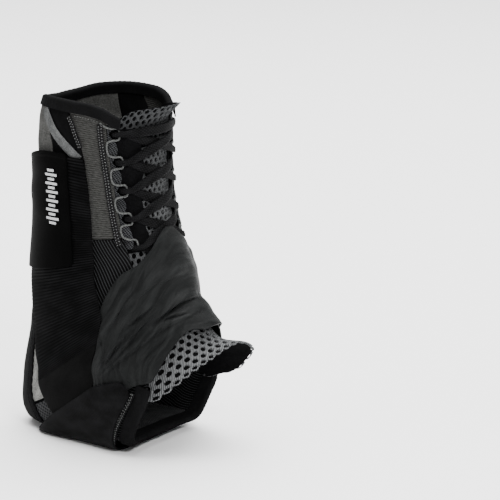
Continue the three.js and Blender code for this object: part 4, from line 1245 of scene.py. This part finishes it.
# the lace: a bar across the top loops, a cross between each two pairs, the ends tucked down
def laceStops():
    low = rise["tongueOut"] + 1.2 * rise["layerGap"] + lacing["laceWall"] / 2
    high = lacing["barHeight"] + lacing["cord"] / 2 + 0.1 + lacing["laceWall"] / 2
    middle = low + lacing["laceWall"] + rise["layerGap"]
    wrap = degrees(lacing["cord"] / 2 + 0.3 + lacing["laceWall"] / 2 + lacing["turn"])
    gather, full = lacing["gather"], lacing["laceWidth"]

    def half(start):
        stops = []
        side = start
        for index in range(lacing["loops"]):
            level = loopLevel(index)
            bar = barAngle(level)
            # up through the loop, round its cord and back under
            stops += [[level, side * (bar - wrap), high, gather],
                      [level, side * (bar + wrap * 0.7), high, gather],
                      [level, side * (bar + wrap * 1.5), (low + high) / 2, gather],
                      [level, side * (bar + wrap * 0.7), low, gather],
                      [level, side * (bar - wrap), low, gather]]
            if index == lacing["loops"] - 1:
                break
            for share in lacing["crossAt"]:
                height = low if side == outerSide else middle
                stops.append([mix(level, loopLevel(index + 1), share), side * mix(bar, -bar, share),
                              height, full])
            side = -side
        end = loopLevel(lacing["loops"] - 1)
        tail = start if lacing["loops"] % 2 else -start
        return stops + [[end + below, tail * angle, low, full] for below, angle in lacing["tails"]]
    bar = [[loopLevel(0) + 0.01, angle, middle, full] for angle in lacing["topBar"]]
    return half(outerSide)[::-1] + bar + half(innerSide)


def lace():
    stops = np.array(laceStops())
    points = place(stops[:, 0], stops[:, 1], stops[:, 2])
    line = splined(np.column_stack([points, stops[:, 0], stops[:, 1], stops[:, 3]]), 1500)
    widths = line[:, 5]
    plain = oval(1, 1, 28, 2.8)
    # ribs along the lace, a fine ripple across it, and more wall where it is gathered
    plain[:, 1] *= 1 + lacing["grooves"] * np.cos(6 * math.pi * plain[:, 0])
    ripple = 1 + 0.05 * np.sin(distances(line[:, :3]) * 2 * math.pi / 1.3)
    walls = lacing["laceWall"] * (1 + 0.35 * (lacing["laceWidth"] - widths) / lacing["laceWidth"])
    rings = plain[None] * np.stack([widths * ripple, walls], -1)[:, None]
    return sweep("lace_braid", line[:, :3], formUp(line[:, 3], line[:, 4]), rings)


# net sewn behind the lacing edge, showing inside the bends of the cord
def laceFacing(side):
    pitch = levels(lacing["pitch"])

    def where(u, v):
        level = mix(facingShape["top"], facingShape["bottom"], u)
        bulge = 0.5 - 0.5 * np.cos(2 * math.pi * (level - loopLevel(0)) / pitch)
        out = mix(facingShape["narrow"], facingShape["wide"], np.sqrt(bulge))
        across = degrees(mix(facingShape["under"], out, v))
        return level, side * (edge("throat", level) - across), 0 * u
    return clothSheet(f"lace_facing_{sideNames[side]}", evenly(150), evenly(10), where,
                      facingShape["low"], facingShape["high"], 0.25)


# black cloth on each side of the tongue, under the laces
def tongueWing(side):
    def where(u, v):
        level = mix(wingShape["top"], wingShape["bottom"], u)
        inner = wingShape["reach"] + 2.5 * np.sin(9 * level) + 1.5 * np.sin(23 * level + 1)
        outer = edge("throat", level) + wingShape["under"]
        return level, side * mix(outer, inner, v), 0.12 * np.sin(31 * level + 6 * v)
    return clothSheet(f"tongue_wing_{sideNames[side]}", evenly(90), evenly(16), where,
                      wingShape["low"], wingShape["high"], 0.12)


for side, name in sideNames.items():
    finish(loopCord(side), cordYarn, "cord_pale", f"loop_cord_{name}")
    finish(laceFacing(side), facingNet, "net_black")
    finish(tongueWing(side), backingKnit, "tongue_knit")
finish(lace(), laceBraid, "lace_black", "lace")
print("lacing done")


# Stitches: one small bar of thread, repeated along each seam line, with both its ends in the cloth.
# Its profile gives shares of its length and of its thickness.
stitch = {
    "sides": 6, "thick": 0.5, "dip": 0.8,
    "profile": [(-0.5, 0.35), (-0.3, 0.95), (0, 1.0), (0.3, 0.95), (0.5, 0.35)],
}


# slant turns each bar, by turns to the left and right, and beside moves the row off its line
def stitchRow(stops, height, pitch, length, slant=0, beside=0):
    points, ups, _ = track(stops, height, 600)
    way = distances(points)
    at = np.arange(pitch / 2, way[-1], pitch)

    def along(distance, values):
        return np.stack([np.interp(distance, way, values[:, k]) for k in range(3)], -1)

    up = unit(along(at, ups))
    ahead = unit(along(at + 0.3, points) - along(at - 0.3, points))
    over = unit(np.cross(ahead, up))
    flip = np.where(np.arange(len(at)) % 2, -1, 1)[:, None]
    lean = math.radians(slant)
    lengthwise = ahead * math.cos(lean) + over * math.sin(lean) * flip
    aside = np.cross(lengthwise, up)
    centre = along(at, points) + over * beside
    thick = stitch["thick"]
    turn = np.arange(stitch["sides"]) * 2 * math.pi / stitch["sides"]
    body = []
    for step, share in stitch["profile"]:
        dip = -thick * stitch["dip"] * (2 * step) ** 2
        for a in turn:
            body.append(centre + lengthwise * step * length + aside * thick / 2 * share * math.cos(a)
                        + up * (thick * 0.4 * share * math.sin(a) + dip))
    return np.stack(body, 1)


def stitches(name, rows, material, slot):
    body = np.concatenate(rows)
    count, sides, rings = len(body), stitch["sides"], len(stitch["profile"])
    base = np.arange(count)[:, None] * rings * sides
    faces = []
    for ring in range(rings - 1):
        for n in range(sides):
            m = (n + 1) % sides
            faces.append(base + [ring * sides + n, ring * sides + m, (ring + 1) * sides + m,
                                 (ring + 1) * sides + n])
    quads = np.concatenate(faces).tolist()
    caps = [(base[:, 0:1] + np.arange(sides)).tolist(),
            (base[:, 0:1] + (rings - 1) * sides + np.arange(sides)[::-1]).tolist()]
    piece = newPiece(name, body, quads + caps[0] + caps[1])
    local = np.tile(np.stack(np.meshgrid(np.arange(rings), np.arange(sides), indexing="ij"), -1)
                    .reshape(-1, 2) * [0.5, 0.25], (count, 1))
    corner = np.zeros(len(piece.data.loops), int)
    piece.data.loops.foreach_get("vertex_index", corner)
    # each stitch lies elsewhere on the yarn's pattern
    setCloth(piece.data, local[corner][:, ::-1] + (corner // (rings * sides))[:, None] * [0.37, 0.91])
    selectOnly(piece)
    bpy.ops.object.mode_set(mode="EDIT")
    bpy.ops.mesh.select_all(action="SELECT")
    bpy.ops.mesh.normals_make_consistent(inside=False)
    bpy.ops.object.mode_set(mode="OBJECT")
    smooth(piece, 80)
    return finish(piece, material, slot)


for side, name in sideNames.items():
    trimTop = rise["trim"] + rise["trimWall"]
    bindingLow = levels(bindingShape["topWidth"] - 0.6)

    def panelTop(t):
        angle = mix(86, 62, t)
        return edge("top", angle) - bindingLow - levels(1.2), side * angle

    def patchEdge(t):
        inset = heelPatch["stitchesIn"]
        return heelEdge(mix(0.1, 1 - inset, t), 0 * t + (inset if side == outerSide else 1 - inset))

    # line, height, spacing, length, slant, beside
    zigzags = [
        (seamStops(side), trimTop + 0.1, 1.9, 1.3, 52, 0.7),
        (seamStops(side), trimTop + 0.1, 1.6, 1.1, 40, -0.7),
        (throatStops(side), trimTop + 0.1, 1.9, 1.3, 52, 0.8),
        (throatStops(side), trimTop + 0.1, 1.6, 1.1, 40, -0.8),
        (panelTop, rise["panel"] + 0.2, 1.9, 1.2, 50, 0),
        (frontStops(side), trimTop + 1.35, 2.0, 1.5, 55, 0.7),
        (frontStops(side), trimTop + 1.35, 1.7, 1.3, 35, -0.6),
    ]
    stitches(f"zigzag_stitches_{name}", [stitchRow(*row) for row in zigzags], greyThread, "tape_grey")
    stitches(f"patch_stitches_{name}", [stitchRow(patchEdge, trimTop, 1.6, 1.3)], blackThread,
             "binding_black")
print("stitches done")
# Camera where the photograph was taken from, above a pale floor, in soft studio light
view = {"azimuth": 35, "elevation": 14, "distance": 1600, "pixelsPerMm": 1.57, "origin": (112, 428),
        "image": 500, "sensor": 36}
azimuth, elevation = math.radians(view["azimuth"]), math.radians(view["elevation"])
backward = Vector((math.sin(azimuth) * math.cos(elevation), -math.cos(azimuth) * math.cos(elevation),
                   math.sin(elevation)))
rightward = Vector((math.cos(azimuth), math.sin(azimuth), 0))
upward = backward.cross(rightward)
half = view["image"] / 2
target = rightward * (half - view["origin"][0]) + upward * (view["origin"][1] - half)
target /= view["pixelsPerMm"]
cameraData = bpy.data.cameras.new("camera")
cameraData.sensor_width = view["sensor"]
cameraData.lens = view["sensor"] * view["distance"] * view["pixelsPerMm"] / view["image"]
cameraData.clip_end = 20
camera = bpy.data.objects.new("camera", cameraData)
camera.location = (target + backward * view["distance"]) * mm
camera.rotation_euler = backward.to_track_quat("Z", "Y").to_euler()
bpy.context.scene.collection.objects.link(camera)
bpy.context.scene.camera = camera

studio = {
    "floor": "#f4f4f4", "floorRoughness": 0.9, "floorSize": 12, "floorDrop": 0.0002,
    "world": "#ffffff", "worldStrength": 0.35, "aimHeight": 0.1,
}
bpy.ops.object.select_all(action="DESELECT")
bpy.ops.mesh.primitive_plane_add(size=studio["floorSize"], location=(0, 0, -studio["floorDrop"]))
floor = bpy.context.object
floor.name = "floor"
floorMaterial = bpy.data.materials.new("paper_white")
floorMaterial.use_nodes = True
floorShader = floorMaterial.node_tree.nodes["Principled BSDF"]
floorShader.inputs["Base Color"].default_value = linear(studio["floor"])
floorShader.inputs["Roughness"].default_value = studio["floorRoughness"]
floor.data.materials.append(floorMaterial)

world = bpy.data.worlds.new("studio")
world.use_nodes = True
world.node_tree.nodes["Background"].inputs["Color"].default_value = linear(studio["world"])
world.node_tree.nodes["Background"].inputs["Strength"].default_value = studio["worldStrength"]
bpy.context.scene.world = world

# Lamps: name, place and size in metres, watts
lamps = [
    ("overhead", (-0.2, 0.6, 2.5), 3.2, 330),
    ("key", (1.0, -0.6, 0.95), 0.3, 17),
    ("side", (-1.0, -0.9, 0.7), 0.5, 2.5),
]
for name, spot, size, watts in lamps:
    light = bpy.data.lights.new(name, "AREA")
    light.energy = watts
    light.size = size
    lamp = bpy.data.objects.new(name, light)
    lamp.location = spot
    aim = Vector(spot) - Vector((0, 0, studio["aimHeight"]))
    lamp.rotation_euler = aim.to_track_quat("Z", "Y").to_euler()
    bpy.context.scene.collection.objects.link(lamp)

print("scene done")
